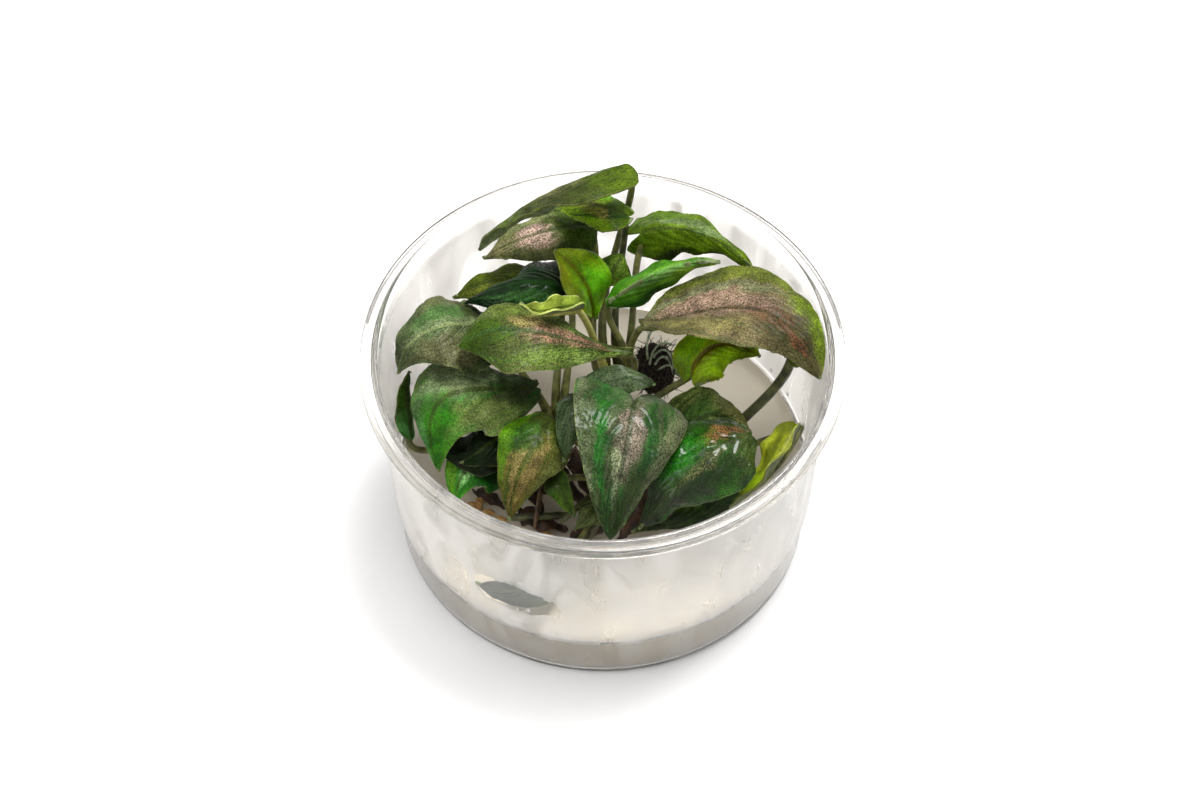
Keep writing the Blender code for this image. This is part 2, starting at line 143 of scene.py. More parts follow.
def turned(name, section, sides):
    # A section of (radius, height) points in mm, spun once round the Z axis. Long straight
    # runs get extra rings beside their corners, so that they shade flat up to the bend.
    rings = []
    for near, far in zip(section, section[1:]):
        rings.append(near)
        run = math.dist(near, far)
        if run > LONG_RUN:
            edge = CORNER_RING / run
            shares = [edge] + [step / 6 for step in range(1, 6)] + [1.0 - edge]
            rings += [tuple(a + (b - a) * share for a, b in zip(near, far)) for share in shares]
    section = rings + [section[-1]]
    deselect()
    bpy.ops.mesh.primitive_circle_add(vertices=len(section), radius=1.0)
    piece = bpy.context.object
    piece.name = name
    for vert, (radius, height) in zip(piece.data.vertices, section):
        vert.co = Vector((radius, 0.0, height)) * MM
    bpy.ops.object.mode_set(mode="EDIT")
    bpy.ops.mesh.select_mode(type="EDGE")
    bpy.ops.mesh.select_all(action="DESELECT")
    bpy.ops.object.mode_set(mode="OBJECT")
    for edge in piece.data.edges:
        edge.select = all(piece.data.vertices[end].co.x < 0.000001 for end in edge.vertices)
    bpy.ops.object.mode_set(mode="EDIT")
    bpy.ops.mesh.delete(type="EDGE")
    bpy.ops.mesh.select_all(action="SELECT")
    bpy.ops.mesh.spin(steps=sides, angle=2 * math.pi, center=(0, 0, 0), axis=(0, 0, 1),
                      use_auto_merge=True)
    bpy.ops.mesh.select_all(action="SELECT")
    bpy.ops.mesh.remove_doubles(threshold=0.00001)
    bpy.ops.mesh.normals_make_consistent(inside=False)
    bpy.ops.object.mode_set(mode="OBJECT")
    return piece


def arc(centre, radius, start, stop, steps):
    # Points of a quarter or half bead on the section, angles in degrees from outward.
    points = []
    for step in range(steps + 1):
        angle = math.radians(start + (stop - start) * step / steps)
        points.append((centre[0] + radius * math.cos(angle), centre[1] + radius * math.sin(angle)))
    return points


def finish(piece, material, slot, *nodes):
    # A finished piece gets its material, rides on the one body and stands for its nodes.
    if not piece.data.materials:
        piece.data.materials.append(material)
    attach(piece, "root")
    if nodes:
        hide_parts(*nodes)


flange_under = CUP_HEIGHT - FLANGE_THICKNESS
cup_section = (
    [(0.0, 0.0), (BASE_FLAT_RADIUS, 0.0)]
    + arc((BASE_RADIUS - 2.2, 2.2), 2.2, -80, -10, 5)
    + [(STEP_RADIUS - 0.1, STEP_HEIGHT - 0.6)]
    + arc((STEP_RADIUS + 0.7, STEP_HEIGHT), 0.7, 180, 100, 3)
    + [(STEP_RADIUS + STEP_WIDTH, STEP_HEIGHT + 0.9), (NECK_RADIUS, flange_under - 1.0)]
    + arc((NECK_RADIUS + 0.8, flange_under - 0.8), 0.8, 180, 90, 3)
    + [(RIM_RADIUS - SKIRT_THICKNESS - 0.4, flange_under)]
    + [(RIM_RADIUS - SKIRT_THICKNESS, flange_under - 0.4)]
    + arc((RIM_RADIUS - 0.35, CUP_HEIGHT - SKIRT_DROP + 0.35), 0.35, 180, 360, 4)
    + arc((RIM_RADIUS - 1.2, CUP_HEIGHT - 1.2), 1.2, 0, 90, 5)
    + [(RIM_RADIUS - 2.0, CUP_HEIGHT - 0.15), (RIM_RADIUS - 2.5, CUP_HEIGHT - 0.4)]
    + [(RIM_RADIUS - 2.9, CUP_HEIGHT - 0.15)]
    + arc((NECK_RADIUS - 0.1, CUP_HEIGHT - 0.8), 0.8, 90, 180, 4)
    + [(STEP_RADIUS + STEP_WIDTH - WALL, STEP_HEIGHT + 1.1), (STEP_RADIUS - WALL, STEP_HEIGHT)]
    + arc((BASE_RADIUS - WALL - 1.4, BASE_THICKNESS + 1.4), 1.4, 0, -90, 4)
    + [(0.0, BASE_THICKNESS)]
)
cup = turned("cup_clear", cup_section, CUP_SIDES)
smooth(50)

# Clear moulded polystyrene: IOR near 1.5, colourless and glossy, with a slow ripple. At the
# rim, the edges that turn side-on to the camera are painted grey: painted shade for the dark
# lines that the bent light draws in the bead. Inside, the wall is fogged with fine
# condensation, less so against the wet gel and not at all where one low leaf has wiped it.
RIPPLE_SIZE = 14 * MM
STREAK_SIZE = 9 * MM
WIPED_PLACE = Vector((-17.5, -39.5, 26.95)) * MM
WIPED_HALF_SIZE = Vector((10.0, 10.0, 5.5)) * MM
polystyrene, tree, shader = new_material("clear_moulded_polystyrene", {"IOR": 1.45})
here = node(tree, "ShaderNodeTexCoord").outputs["Object"]
height = node(tree, "ShaderNodeSeparateXYZ", links={0: here}).outputs["Z"]
ripple = node(tree, "ShaderNodeTexNoise", {"Scale": 1 / RIPPLE_SIZE, "Detail": 2.0},
              {"Vector": here})
streaks = node(tree, "ShaderNodeVectorMath", {"operation": "MULTIPLY", 1: (1.0, 1.0, 0.35)},
               {0: here}).outputs[0]
streaks = node(tree, "ShaderNodeTexNoise",
               {"Scale": 1 / STREAK_SIZE, "Detail": 4.0, "Distortion": 1.2},
               {"Vector": streaks}).outputs["Fac"]
wiped = node(tree, "ShaderNodeVectorMath", {"operation": "SUBTRACT", 1: WIPED_PLACE}, {0: here})
wiped = node(tree, "ShaderNodeVectorMath", {"operation": "DIVIDE", 1: WIPED_HALF_SIZE},
             {0: wiped.outputs[0]})
wiped = node(tree, "ShaderNodeVectorMath", {"operation": "LENGTH"}, {0: wiped.outputs[0]})
wiped = maths(tree, "ADD", wiped.outputs["Value"], streaks)
wiped = span(tree, wiped, 1.45, 1.5, 0.0, 1.0)
below = span(tree, height, (CUP_HEIGHT - 2.5) * MM, (CUP_HEIGHT - 5.0) * MM, 0.0, 1.0)
dry = span(tree, height, (STEP_HEIGHT - 1.5) * MM, (STEP_HEIGHT + 2) * MM, 0.45, 1.0)
misted = maths(tree, "MULTIPLY", maths(tree, "MULTIPLY", below, wiped), dry)
fog = maths(tree, "MULTIPLY", misted, span(tree, streaks, 0.35, 0.65, 0.22, 0.5))
tree.links.new(maths(tree, "ADD", fog, 0.04), shader.inputs["Roughness"])
cloudy = maths(tree, "MULTIPLY", misted, span(tree, streaks, 0.4, 0.65, 0.09, 0.32))
tree.links.new(maths(tree, "SUBTRACT", 0.97, cloudy), shader.inputs["Transmission Weight"])
# Painted shade: the rim's colour darkens to grey where its surface turns side-on to the camera.
edge = node(tree, "ShaderNodeLayerWeight", {"Blend": 0.5}).outputs["Facing"]
edge = maths(tree, "MULTIPLY", span(tree, edge, 0.45, 0.95, 0.0, 1.0),
             maths(tree, "SUBTRACT", 1.0, below))
tint = node(tree, "ShaderNodeMix", {"data_type": "RGBA", 6: linear("f3f0ec"), 7: linear("6e6c6c")},
            {0: edge})
tree.links.new(tint.outputs[2], shader.inputs["Base Color"])
bump = node(tree, "ShaderNodeBump", {"Strength": 0.25, "Distance": 0.4 * MM},
            {"Height": ripple.outputs["Fac"]})
tree.links.new(bump.outputs["Normal"], shader.inputs["Normal"])
finish(cup, polystyrene, "clear_polystyrene", "cup")

# The gel: agar medium, poured warm and set as a cloudy ivory block. It creeps up the wall
# in a narrow meniscus, and the crowns and old roots stand in it.
GAP = 0.3
GEL_TOP = 13.6
MENISCUS = 1.0
MENISCUS_WIDTH = 2.0
side_foot = BASE_RADIUS - WALL - GAP
side_top = STEP_RADIUS - WALL - GAP
gel_section = (
    [(0.0, BASE_THICKNESS + GAP)]
    + arc((side_foot - 1.4, BASE_THICKNESS + GAP + 1.4), 1.4, -90, 0, 4)
    + [(side_top, STEP_HEIGHT), (side_top, GEL_TOP + MENISCUS)]
    + [(side_top - 0.3, GEL_TOP + 0.75 * MENISCUS), (side_top - 0.9, GEL_TOP + 0.3 * MENISCUS)]
    + [(side_top - MENISCUS_WIDTH, GEL_TOP)]
    + [(side_top * share, GEL_TOP) for share in (0.8, 0.6, 0.4, 0.2)]
    + [(0.0, GEL_TOP)]
)
gel = turned("gel_block", gel_section, CUP_SIDES)
for vert in gel.data.vertices:
    on_top = vert.co.z > (GEL_TOP - 0.1) * MM and vert.co.xy.length < (side_top - 0.9) * MM
    if on_top:
        vert.co.z += 0.35 * MM * noise.noise(vert.co / (9 * MM))
smooth(50)

# Agar: IOR 1.34, a wet skin over a cloudy body that scatters light a few millimetres deep.
# Its sides are painted browner and darker than its open top: painted shade behind the wall.
agar, tree, shader = new_material("set_agar_gel", {
    "Roughness": 0.22, "IOR": 1.34, "Subsurface Weight": 0.25,
    "Subsurface Radius": (1.0, 0.85, 0.6), "Subsurface Scale": 2.5 * MM})
here = node(tree, "ShaderNodeTexCoord").outputs["Object"]
cloud = node(tree, "ShaderNodeTexNoise", {"Scale": 1 / (11 * MM), "Detail": 3.0}, {"Vector": here})
tint = node(tree, "ShaderNodeValToRGB", links={0: cloud.outputs["Fac"]})
tint.color_ramp.elements[0].position = 0.3
tint.color_ramp.elements[0].color = linear("9a8c6e")
tint.color_ramp.elements[1].position = 0.7
tint.color_ramp.elements[1].color = linear("b6a98a")
height = node(tree, "ShaderNodeSeparateXYZ", links={0: here}).outputs["Z"]
# Painted light: the open top is painted a paler ivory than the shaded sides.
painted_lit_top = span(tree, height, (STEP_HEIGHT - 0.8) * MM, STEP_HEIGHT * MM, 0.0, 0.75)
tree.links.new(paint(tree, tint.outputs["Color"], painted_lit_top, "dcd5c6"), shader.inputs["Base Color"])
dimple = node(tree, "ShaderNodeBump", {"Strength": 0.3, "Distance": 0.3 * MM},
              {"Height": cloud.outputs["Fac"]})
tree.links.new(dimple.outputs["Normal"], shader.inputs["Normal"])
finish(gel, agar, "agar_gel", "gel")

# The droplets: beads of condensed water that hang on the inside of the wall, most of them
# just over the gel. Each is flat against the wall and heavier towards its foot.
DROP_COUNT = 90
DROP_DEPTH = 0.2
LOWEST_DROP = STEP_HEIGHT + 2.4
DROP_SPREAD = 24


def join(pieces, name):
    # The first piece takes in the others and is named anew.
    deselect()
    for piece in pieces:
        piece.select_set(True)
    bpy.context.view_layer.objects.active = pieces[0]
    bpy.ops.object.join()
    pieces[0].name = name
    return pieces[0]


# Water: IOR 1.33, clear and smooth.
water, tree, shader = new_material("condensed_water", {
    "Roughness": 0.03, "IOR": 1.33, "Transmission Weight": 1.0})
draw = random.Random(5)
parts = []
for _ in range(DROP_COUNT):
    angle = draw.uniform(0, 2 * math.pi)
    level = LOWEST_DROP + DROP_SPREAD * draw.random() ** 3
    climb = (level - STEP_HEIGHT) / (CUP_HEIGHT - STEP_HEIGHT)
    wall_foot = STEP_RADIUS + STEP_WIDTH
    radius = wall_foot + (NECK_RADIUS - wall_foot) * climb - WALL - 0.25
    size = draw.uniform(0.25, 0.55)
    out = Vector((math.cos(angle), math.sin(angle), 0.0))
    side = Vector((-math.sin(angle), math.cos(angle), 0.0))
    deselect()
    bpy.ops.mesh.primitive_uv_sphere_add(segments=16, ring_count=10, radius=1.0)
    bead = bpy.context.object
    for vert in bead.data.vertices:
        swell = 1.0 - 0.25 * vert.co.z
        vert.co = (out * (radius + vert.co.x * DROP_DEPTH) + side * (vert.co.y * size * swell)
                   + Vector((0, 0, level + vert.co.z * size * 1.3))) * MM
    bpy.ops.object.shade_smooth()
    parts.append(bead)
# Only the first bead holds the water. The others join it with no material and stay pale.
parts[0].data.materials.append(water)
finish(join(parts, "condensed_drops"), water, "agar_gel")

# The crowns: four short upright stems of soft green tissue that stand in the gel. Each is
# ringed by the scars of old leaves and wrapped in a few dry brown sheaths.
CROWN_SHARES = ((0.0, 0.55), (0.12, 0.9), (0.4, 1.0), (0.7, 0.85), (0.92, 0.6))
CROWNS = {
    "crown_back": (Vector((2.5, 15.0, 0.0)), 30.0, 2.4),
    "crown_left": (Vector((-9.0, 6.0, 0.0)), 25.0, 2.2),
    "crown_front": (Vector((4.0, -7.0, 0.0)), 27.0, 2.2),
    "crown_right": (Vector((21.0, -3.0, 0.0)), 25.0, 2.2),
}
CROWN_FOOT = GEL_TOP - 6.0


def crown_radius(name, height):
    # Radius of the plain stem at a height, from the same rings as the CAD's.
    foot, top, girth = CROWNS[name]
    rings = [(girth * share, CROWN_FOOT + (top - CROWN_FOOT) * rise)
             for rise, share in CROWN_SHARES]
    for (r0, z0), (r1, z1) in zip(rings, rings[1:]):
        if z0 <= height <= z1:
            return max(r0 + (r1 - r0) * (height - z0) / (z1 - z0), 0.5 * girth)
    return 0.5 * girth


def tube(name, path, radii, sides=8):
    # A closed tube through the points of a path, with its own radius at each point, in mm.
    deselect()
    bpy.ops.mesh.primitive_grid_add(x_subdivisions=len(path) - 1, y_subdivisions=sides, size=1)
    piece = bpy.context.object
    piece.name = name
    ways = [(b - a).normalized() for a, b in zip(path, path[1:])]
    ways.append(ways[-1])
    side = ways[0].orthogonal().normalized()
    sideways = []
    for last, way in zip([ways[0]] + ways, ways):
        side = (last.rotation_difference(way) @ side).normalized()
        sideways.append(side)
    for vert in piece.data.vertices:
        step = round((vert.co.x + 0.5) * (len(path) - 1))
        turn = 2 * math.pi * (vert.co.y + 0.5)
        out = sideways[step] * math.cos(turn) + ways[step].cross(sideways[step]) * math.sin(turn)
        vert.co = (path[step] + out * radii[step]) * MM
    bpy.ops.object.mode_set(mode="EDIT")
    bpy.ops.mesh.select_all(action="SELECT")
    bpy.ops.mesh.remove_doubles(threshold=0.000005)
    bpy.ops.mesh.fill_holes(sides=0)
    bpy.ops.mesh.select_all(action="SELECT")
    bpy.ops.mesh.normals_make_consistent(inside=False)
    bpy.ops.object.mode_set(mode="OBJECT")
    smooth(60)
    return piece


def mottled(name, dark, light, scale, roughness, relief=0.1):
    # Plant tissue or debris: two tones in a noise of the given size in mm, with its relief.
    made, tree, shader = new_material(name, {"Roughness": roughness})
    here = node(tree, "ShaderNodeTexCoord").outputs["Object"]
    cloud = node(tree, "ShaderNodeTexNoise", {"Scale": 1 / (scale * MM), "Detail": 4.0},
                 {"Vector": here})
    tone = node(tree, "ShaderNodeValToRGB", links={0: cloud.outputs["Fac"]})
    tone.color_ramp.elements[0].position = 0.35
    tone.color_ramp.elements[0].color = linear(dark)
    tone.color_ramp.elements[1].position = 0.65
    tone.color_ramp.elements[1].color = linear(light)
    lift = node(tree, "ShaderNodeBump", {"Strength": 0.6, "Distance": relief * MM},
                {"Height": cloud.outputs["Fac"]})
    tree.links.new(tone.outputs["Color"], shader.inputs["Base Color"])
    tree.links.new(lift.outputs["Normal"], shader.inputs["Normal"])
    return made


# Living stem tissue, and the papery brown skin of a withered sheath.
stem_tissue = mottled("stem_tissue", "33361a", "5c5c32", 1.5, 0.55)
dry_sheath = mottled("dry_leaf_sheath", "3c2814", "8a6434", 1.2, 0.75)

# The noise vectors are seeded as well, because Blender would start them from the clock.
draw = random.Random(11)
noise.seed_set(11)
for crown, (foot, top, girth) in CROWNS.items():
    rings = [(0.0, CROWN_FOOT), (girth * 0.55, CROWN_FOOT + 0.2)]
    for ring in range(1, 27):
        height = CROWN_FOOT + (top - CROWN_FOOT) * 0.94 * ring / 27
        scar = 0.14 if ring % 4 == 0 else 0.0
        rings.append((crown_radius(crown, height) - scar, height))
    rings += [(girth * 0.3, top - 0.25), (0.0, top)]
    stem = turned(crown + "_stem", rings, 24)
    for vert in stem.data.vertices:
        vert.co += foot * MM
        vert.co.xy += noise.noise_vector(vert.co / (2.5 * MM)).xy * 0.2 * MM
    stem.data.materials.append(stem_tissue)
    smooth(50)
    parts = [stem]
    for sheath in range(5):
        heading = math.radians(sheath * 137.5 + draw.uniform(-20, 20))
        out = Vector((math.cos(heading), math.sin(heading), 0.0))
        low = top - draw.uniform(6.0, 9.0)
        path = []
        for step in range(9):
            away = crown_radius(crown, low) * 0.8 + 0.1 * step + 0.035 * step * step
            path.append(foot + out * away + Vector((0, 0, low + 0.75 * step)))
        parts.append(tube("sheath", path, [0.4, 0.5, 0.5, 0.45, 0.4, 0.35, 0.3, 0.2, 0.06]))
        parts[-1].data.materials.append(dry_sheath)
    finish(join(parts, crown + "_sheathed"), stem_tissue, "stem", crown)

# The root clump: a mat of old, nearly black roots beside the tallest crown. It is a felt of
# fine fibres round a lump, and a few pale green young roots arch over it.
CLUMP_MIDDLE = Vector((11.2, 16.8, 26.6))
CLUMP_HALF_SIZE = Vector((4.2, 3.8, 7.0))
FIBRE_COUNT = 240
deselect()
bpy.ops.mesh.primitive_ico_sphere_add(subdivisions=6, radius=1.0)
clump = bpy.context.object
for vert in clump.data.vertices:
    knob = 1.0 + 0.16 * noise.noise(vert.co * 2.4) + 0.09 * noise.noise(vert.co * 7.0)
    knob += 0.05 * noise.noise(vert.co * 17.0)
    vert.co = (CLUMP_MIDDLE + vert.co * CLUMP_HALF_SIZE * knob) * MM
smooth(60)
old_root = mottled("old_roots", "0e0b09", "33281d", 0.9, 0.9, 0.3)
root_fibre = mottled("root_fibres", "17120e", "4a3a28", 0.8, 0.85)
clump.data.materials.append(old_root)
parts = [clump]
for _ in range(FIBRE_COUNT):
    heading = draw.uniform(0, 2 * math.pi)
    climb = draw.uniform(-0.6, 1.0)
    level = math.sqrt(1.0 - climb * climb)
    out = Vector((level * math.cos(heading), level * math.sin(heading), climb))
    start = CLUMP_MIDDLE + out * CLUMP_HALF_SIZE * 0.93
    astray = Vector((draw.uniform(-1, 1), draw.uniform(-1, 1), draw.uniform(-1, 1)))
    way = (out + astray).normalized()
    turn = Vector((draw.uniform(-1, 1), draw.uniform(-1, 1), draw.uniform(-1.2, 0.4)))
    length = draw.uniform(1.2, 3.8)
    path = [start + way * (length * s / 6) + turn * (length * (s / 6) ** 2 * 0.5) for s in range(7)]
    parts.append(tube("fibre", path, [0.12, 0.11, 0.1, 0.09, 0.08, 0.07, 0.03], 5))
    parts[-1].data.materials.append(root_fibre)
finish(join(parts, "root_clump_felt"), old_root, "dark_roots", "root_clump")

# The young roots: thin pale strands that leave the tallest crown, arch over the dark mat
# and dive back down, and one long root that grew along the wall inside the gel.
young_root = mottled("young_roots", "5c6b52", "a3ad90", 1.0, 0.5)
strands = (
    ((10.0, 13.5, 32.5), (10.6, 15.5, 37.5), (13.0, 16.5, 37.5), (15.2, 15.0, 37.0)),
    ((10.8, 15.0, 33.0), (12.5, 16.0, 36.5), (15.0, 15.5, 35.5), (15.0, 12.0, 32.5)),
    ((11.2, 13.5, 32.5), (12.5, 14.5, 36.0), (14.6, 14.5, 34.5), (14.9, 11.6, 31.4)),
    ((9.6, 14.5, 33.0), (9.0, 17.0, 37.0), (10.0, 19.0, 38.5), (12.0, 19.0, 38.0)),
    ((11.8, 12.8, 31.5), (13.8, 13.0, 34.0), (15.6, 13.6, 33.0), (16.6, 12.0, 29.5)),
)


def bezier(points, t):
    a, b, c, d = points
    s = 1.0 - t
    return a * s ** 3 + b * (3 * s * s * t) + c * (3 * s * t * t) + d * t ** 3


parts = []
for strand in strands:
    corners = [Vector(corner) for corner in strand]
    path = [bezier(corners, step / 16) for step in range(17)]
    parts.append(tube("strand", path, [0.25] * 12 + [0.23, 0.2, 0.17, 0.13, 0.05]))
finish(join(parts, "young_roots"), young_root, "dark_roots")
sunk = []
for step in range(25):
    angle = math.radians(269.5 - 5.5 * step / 24)
    height = 12.6 - 0.4 * step + 0.4 * math.sin(step / 3.5)
    radius = side_foot + (side_top - side_foot) * (height - 2.7) / (STEP_HEIGHT - 2.7) + 0.15
    sunk.append(Vector((radius * math.cos(angle), radius * math.sin(angle), height)))
white_root = mottled("sunk_root", "a99a7c", "cfc4aa", 1.5, 0.4)
finish(tube("sunk_root", sunk, [0.13] * 24 + [0.05], 8), white_root, "dark_roots")

# The leaves at the back: tall olive, green and pinkish blades that lean on the rim. Each is
# one soft blade with a sunken midrib, curved side veins and a rippled margin, grown in one
# with its stalk, which sheathes the crown.
STALK_RADIUS = 0.8
LEAF_THICKNESS = 0.6
BLADE_THICKNESS = 0.4


def bezier_through(points):
    # The cubic that starts and ends at the outer points and passes the inner two
    # at a third and at two thirds of its way.
    p0, q1, q2, p3 = [Vector(p) for p in points]
    p1 = (q1 * 18 - q2 * 9 - p0 * 5 + p3 * 2) / 6
    p2 = (q2 * 18 - q1 * 9 - p3 * 5 + p0 * 2) / 6
    return p0, p1, p2, p3


def direction(points, t, step=0.01):
    return (bezier(points, min(t + step, 1.0)) - bezier(points, max(t - step, 0.0))).normalized()


class Blade:
    # A leaf's surface, as in the CAD: t runs from stalk to tip, v from margin to margin. Width,
    # lobe and wave are in mm, fold and curl in degrees for each half. The corner says how far
    # out each lobe is longest, and ease is the share of the midrib whose direction is averaged.
    def __init__(self, midrib, width, face=(0, 0, 1), face_tip=None, fold=(15, 15), fold_tip=None,
                 curl=(15, 15), shoulder=0.005, lobe=1, wave=0.6, widest=0.6, veins=7,
                 crumple=1.0, corner=(0.8, 0.8), ease=0.01, seed=0):
        self.midrib = bezier_through(midrib)
        self.half_width = width / 2
        self.face = Vector(face).normalized()
        self.face_tip = Vector(face_tip or face).normalized()
        self.fold = fold
        self.fold_tip = fold_tip or fold
        self.curl = curl
        self.shoulder = shoulder
        self.lobe = lobe
        self.wave = wave
        self.widest = widest
        self.veins = veins
        self.crumple = crumple
        self.corner = corner
        self.ease = ease
        self.seed = seed

    def reach(self, t):
        along = self.shoulder + (1.0 - self.shoulder) * t
        full = max(math.sin(math.pi * along ** self.widest), 0.0) ** 0.8
        base = 0.65 + 0.35 * math.sqrt(1.0 - (1.0 - min(t / 0.1, 1.0)) ** 2)
        return self.half_width * max(full, 0.02) * base

    def point(self, t, v):
        along = direction(self.midrib, t, self.ease)
        face = self.face.lerp(self.face_tip, t)
        side = along.cross(face).normalized()
        up = side.cross(along)
        half = 0 if v < 0 else 1
        reach = abs(v) * self.reach(t)
        fold = self.fold[half] * (1.0 - t) + self.fold_tip[half] * t
        fall = math.radians(fold + self.curl[half] * abs(v) / 2)
        sideways = math.copysign(reach * math.cos(fall), v)
        ripple = self.wave * v * v * math.sin(2 * math.pi * (2.5 * t + 0.25 * half))
        back = self.lobe * math.sin(self.corner[half] * math.pi * abs(v)) * (1.0 - t) ** 5
        back *= 0.8 / self.corner[half]
        return (bezier(self.midrib, t) + side * sideways
                + up * (ripple - reach * math.sin(fall)) - along * back)

    def normal(self, t, v):
        step = 0.02
        t = min(max(t, step), 1.0 - 2 * step)
        v = min(max(v, step - 1.0), 1.0 - step)
        along = self.point(t + step, v) - self.point(t - step, v)
        across = self.point(t, v + step) - self.point(t, v - step)
        return across.cross(along).normalized()

    def relief(self, t, v, place):
        # Sunken midrib and side veins, cushions between them, and a fine restless margin.
        aside = abs(v)
        size = min(self.half_width / 10, 1.0)
        phase = (t - aside * (0.45 + 0.65 * v * v)) * self.veins
        off = abs(phase - round(phase))
        fade = min(aside / 0.1, 1.0) * min((1.0 - t) / 0.15, 1.0) * min(t / 0.05, 1.0)
        rib = -0.4 * math.exp(-(aside * self.reach(t) / 0.55) ** 2) * (1.0 - 0.7 * t)
        vein = -0.15 * math.exp(-(off / 0.08) ** 2) * fade
        cushion = 0.22 * math.sin(math.pi * off) * fade * (1.0 - aside ** 4)
        lumps = 0.6 * noise.noise(place / 5.0 + Vector((self.seed, 0, 0)))
        lumps = self.crumple * (lumps + 0.2 * noise.noise(place / 2.0 + Vector((0, self.seed, 0))))
        margin = 0.35 * aside ** 5 * noise.noise(Vector((t * 9, v * 2, self.seed)))
        return size * (vein + cushion + lumps * fade + margin) + rib


def make_blade(name, leaf, rows, columns, *skins):
    # A grid in t and v, laid on the leaf's surface, lifted by its relief and made solid. The
    # first skin is the upper one, and a second is the underside.
    deselect()
    bpy.ops.mesh.primitive_grid_add(x_subdivisions=rows, y_subdivisions=columns, size=1,
                                    calc_uvs=True)
    blade = bpy.context.object
    blade.name = name
    mesh = blade.data
    flat = [(vert.co.x + 0.5, -2 * vert.co.y) for vert in mesh.vertices]
    for vert, (t, v) in zip(mesh.vertices, flat):
        vert.co = leaf.point(t, v) * MM
    mesh.update()
    lifts = [vert.normal * leaf.relief(t, v, vert.co / MM) for vert, (t, v) in
             zip(mesh.vertices, flat)]
    for vert, lift in zip(mesh.vertices, lifts):
        vert.co += lift * MM
    solid = blade.modifiers.new("thickness", "SOLIDIFY")
    solid.thickness = BLADE_THICKNESS * MM
    solid.offset = -1.0
    solid.material_offset = 1
    for skin in skins:
        mesh.materials.append(skin)
    bpy.ops.object.modifier_apply(modifier="thickness")
    smooth(60)
    return blade


CELL_GRAIN = 0.34 * MM
PATCH_SIZE = 4 * MM


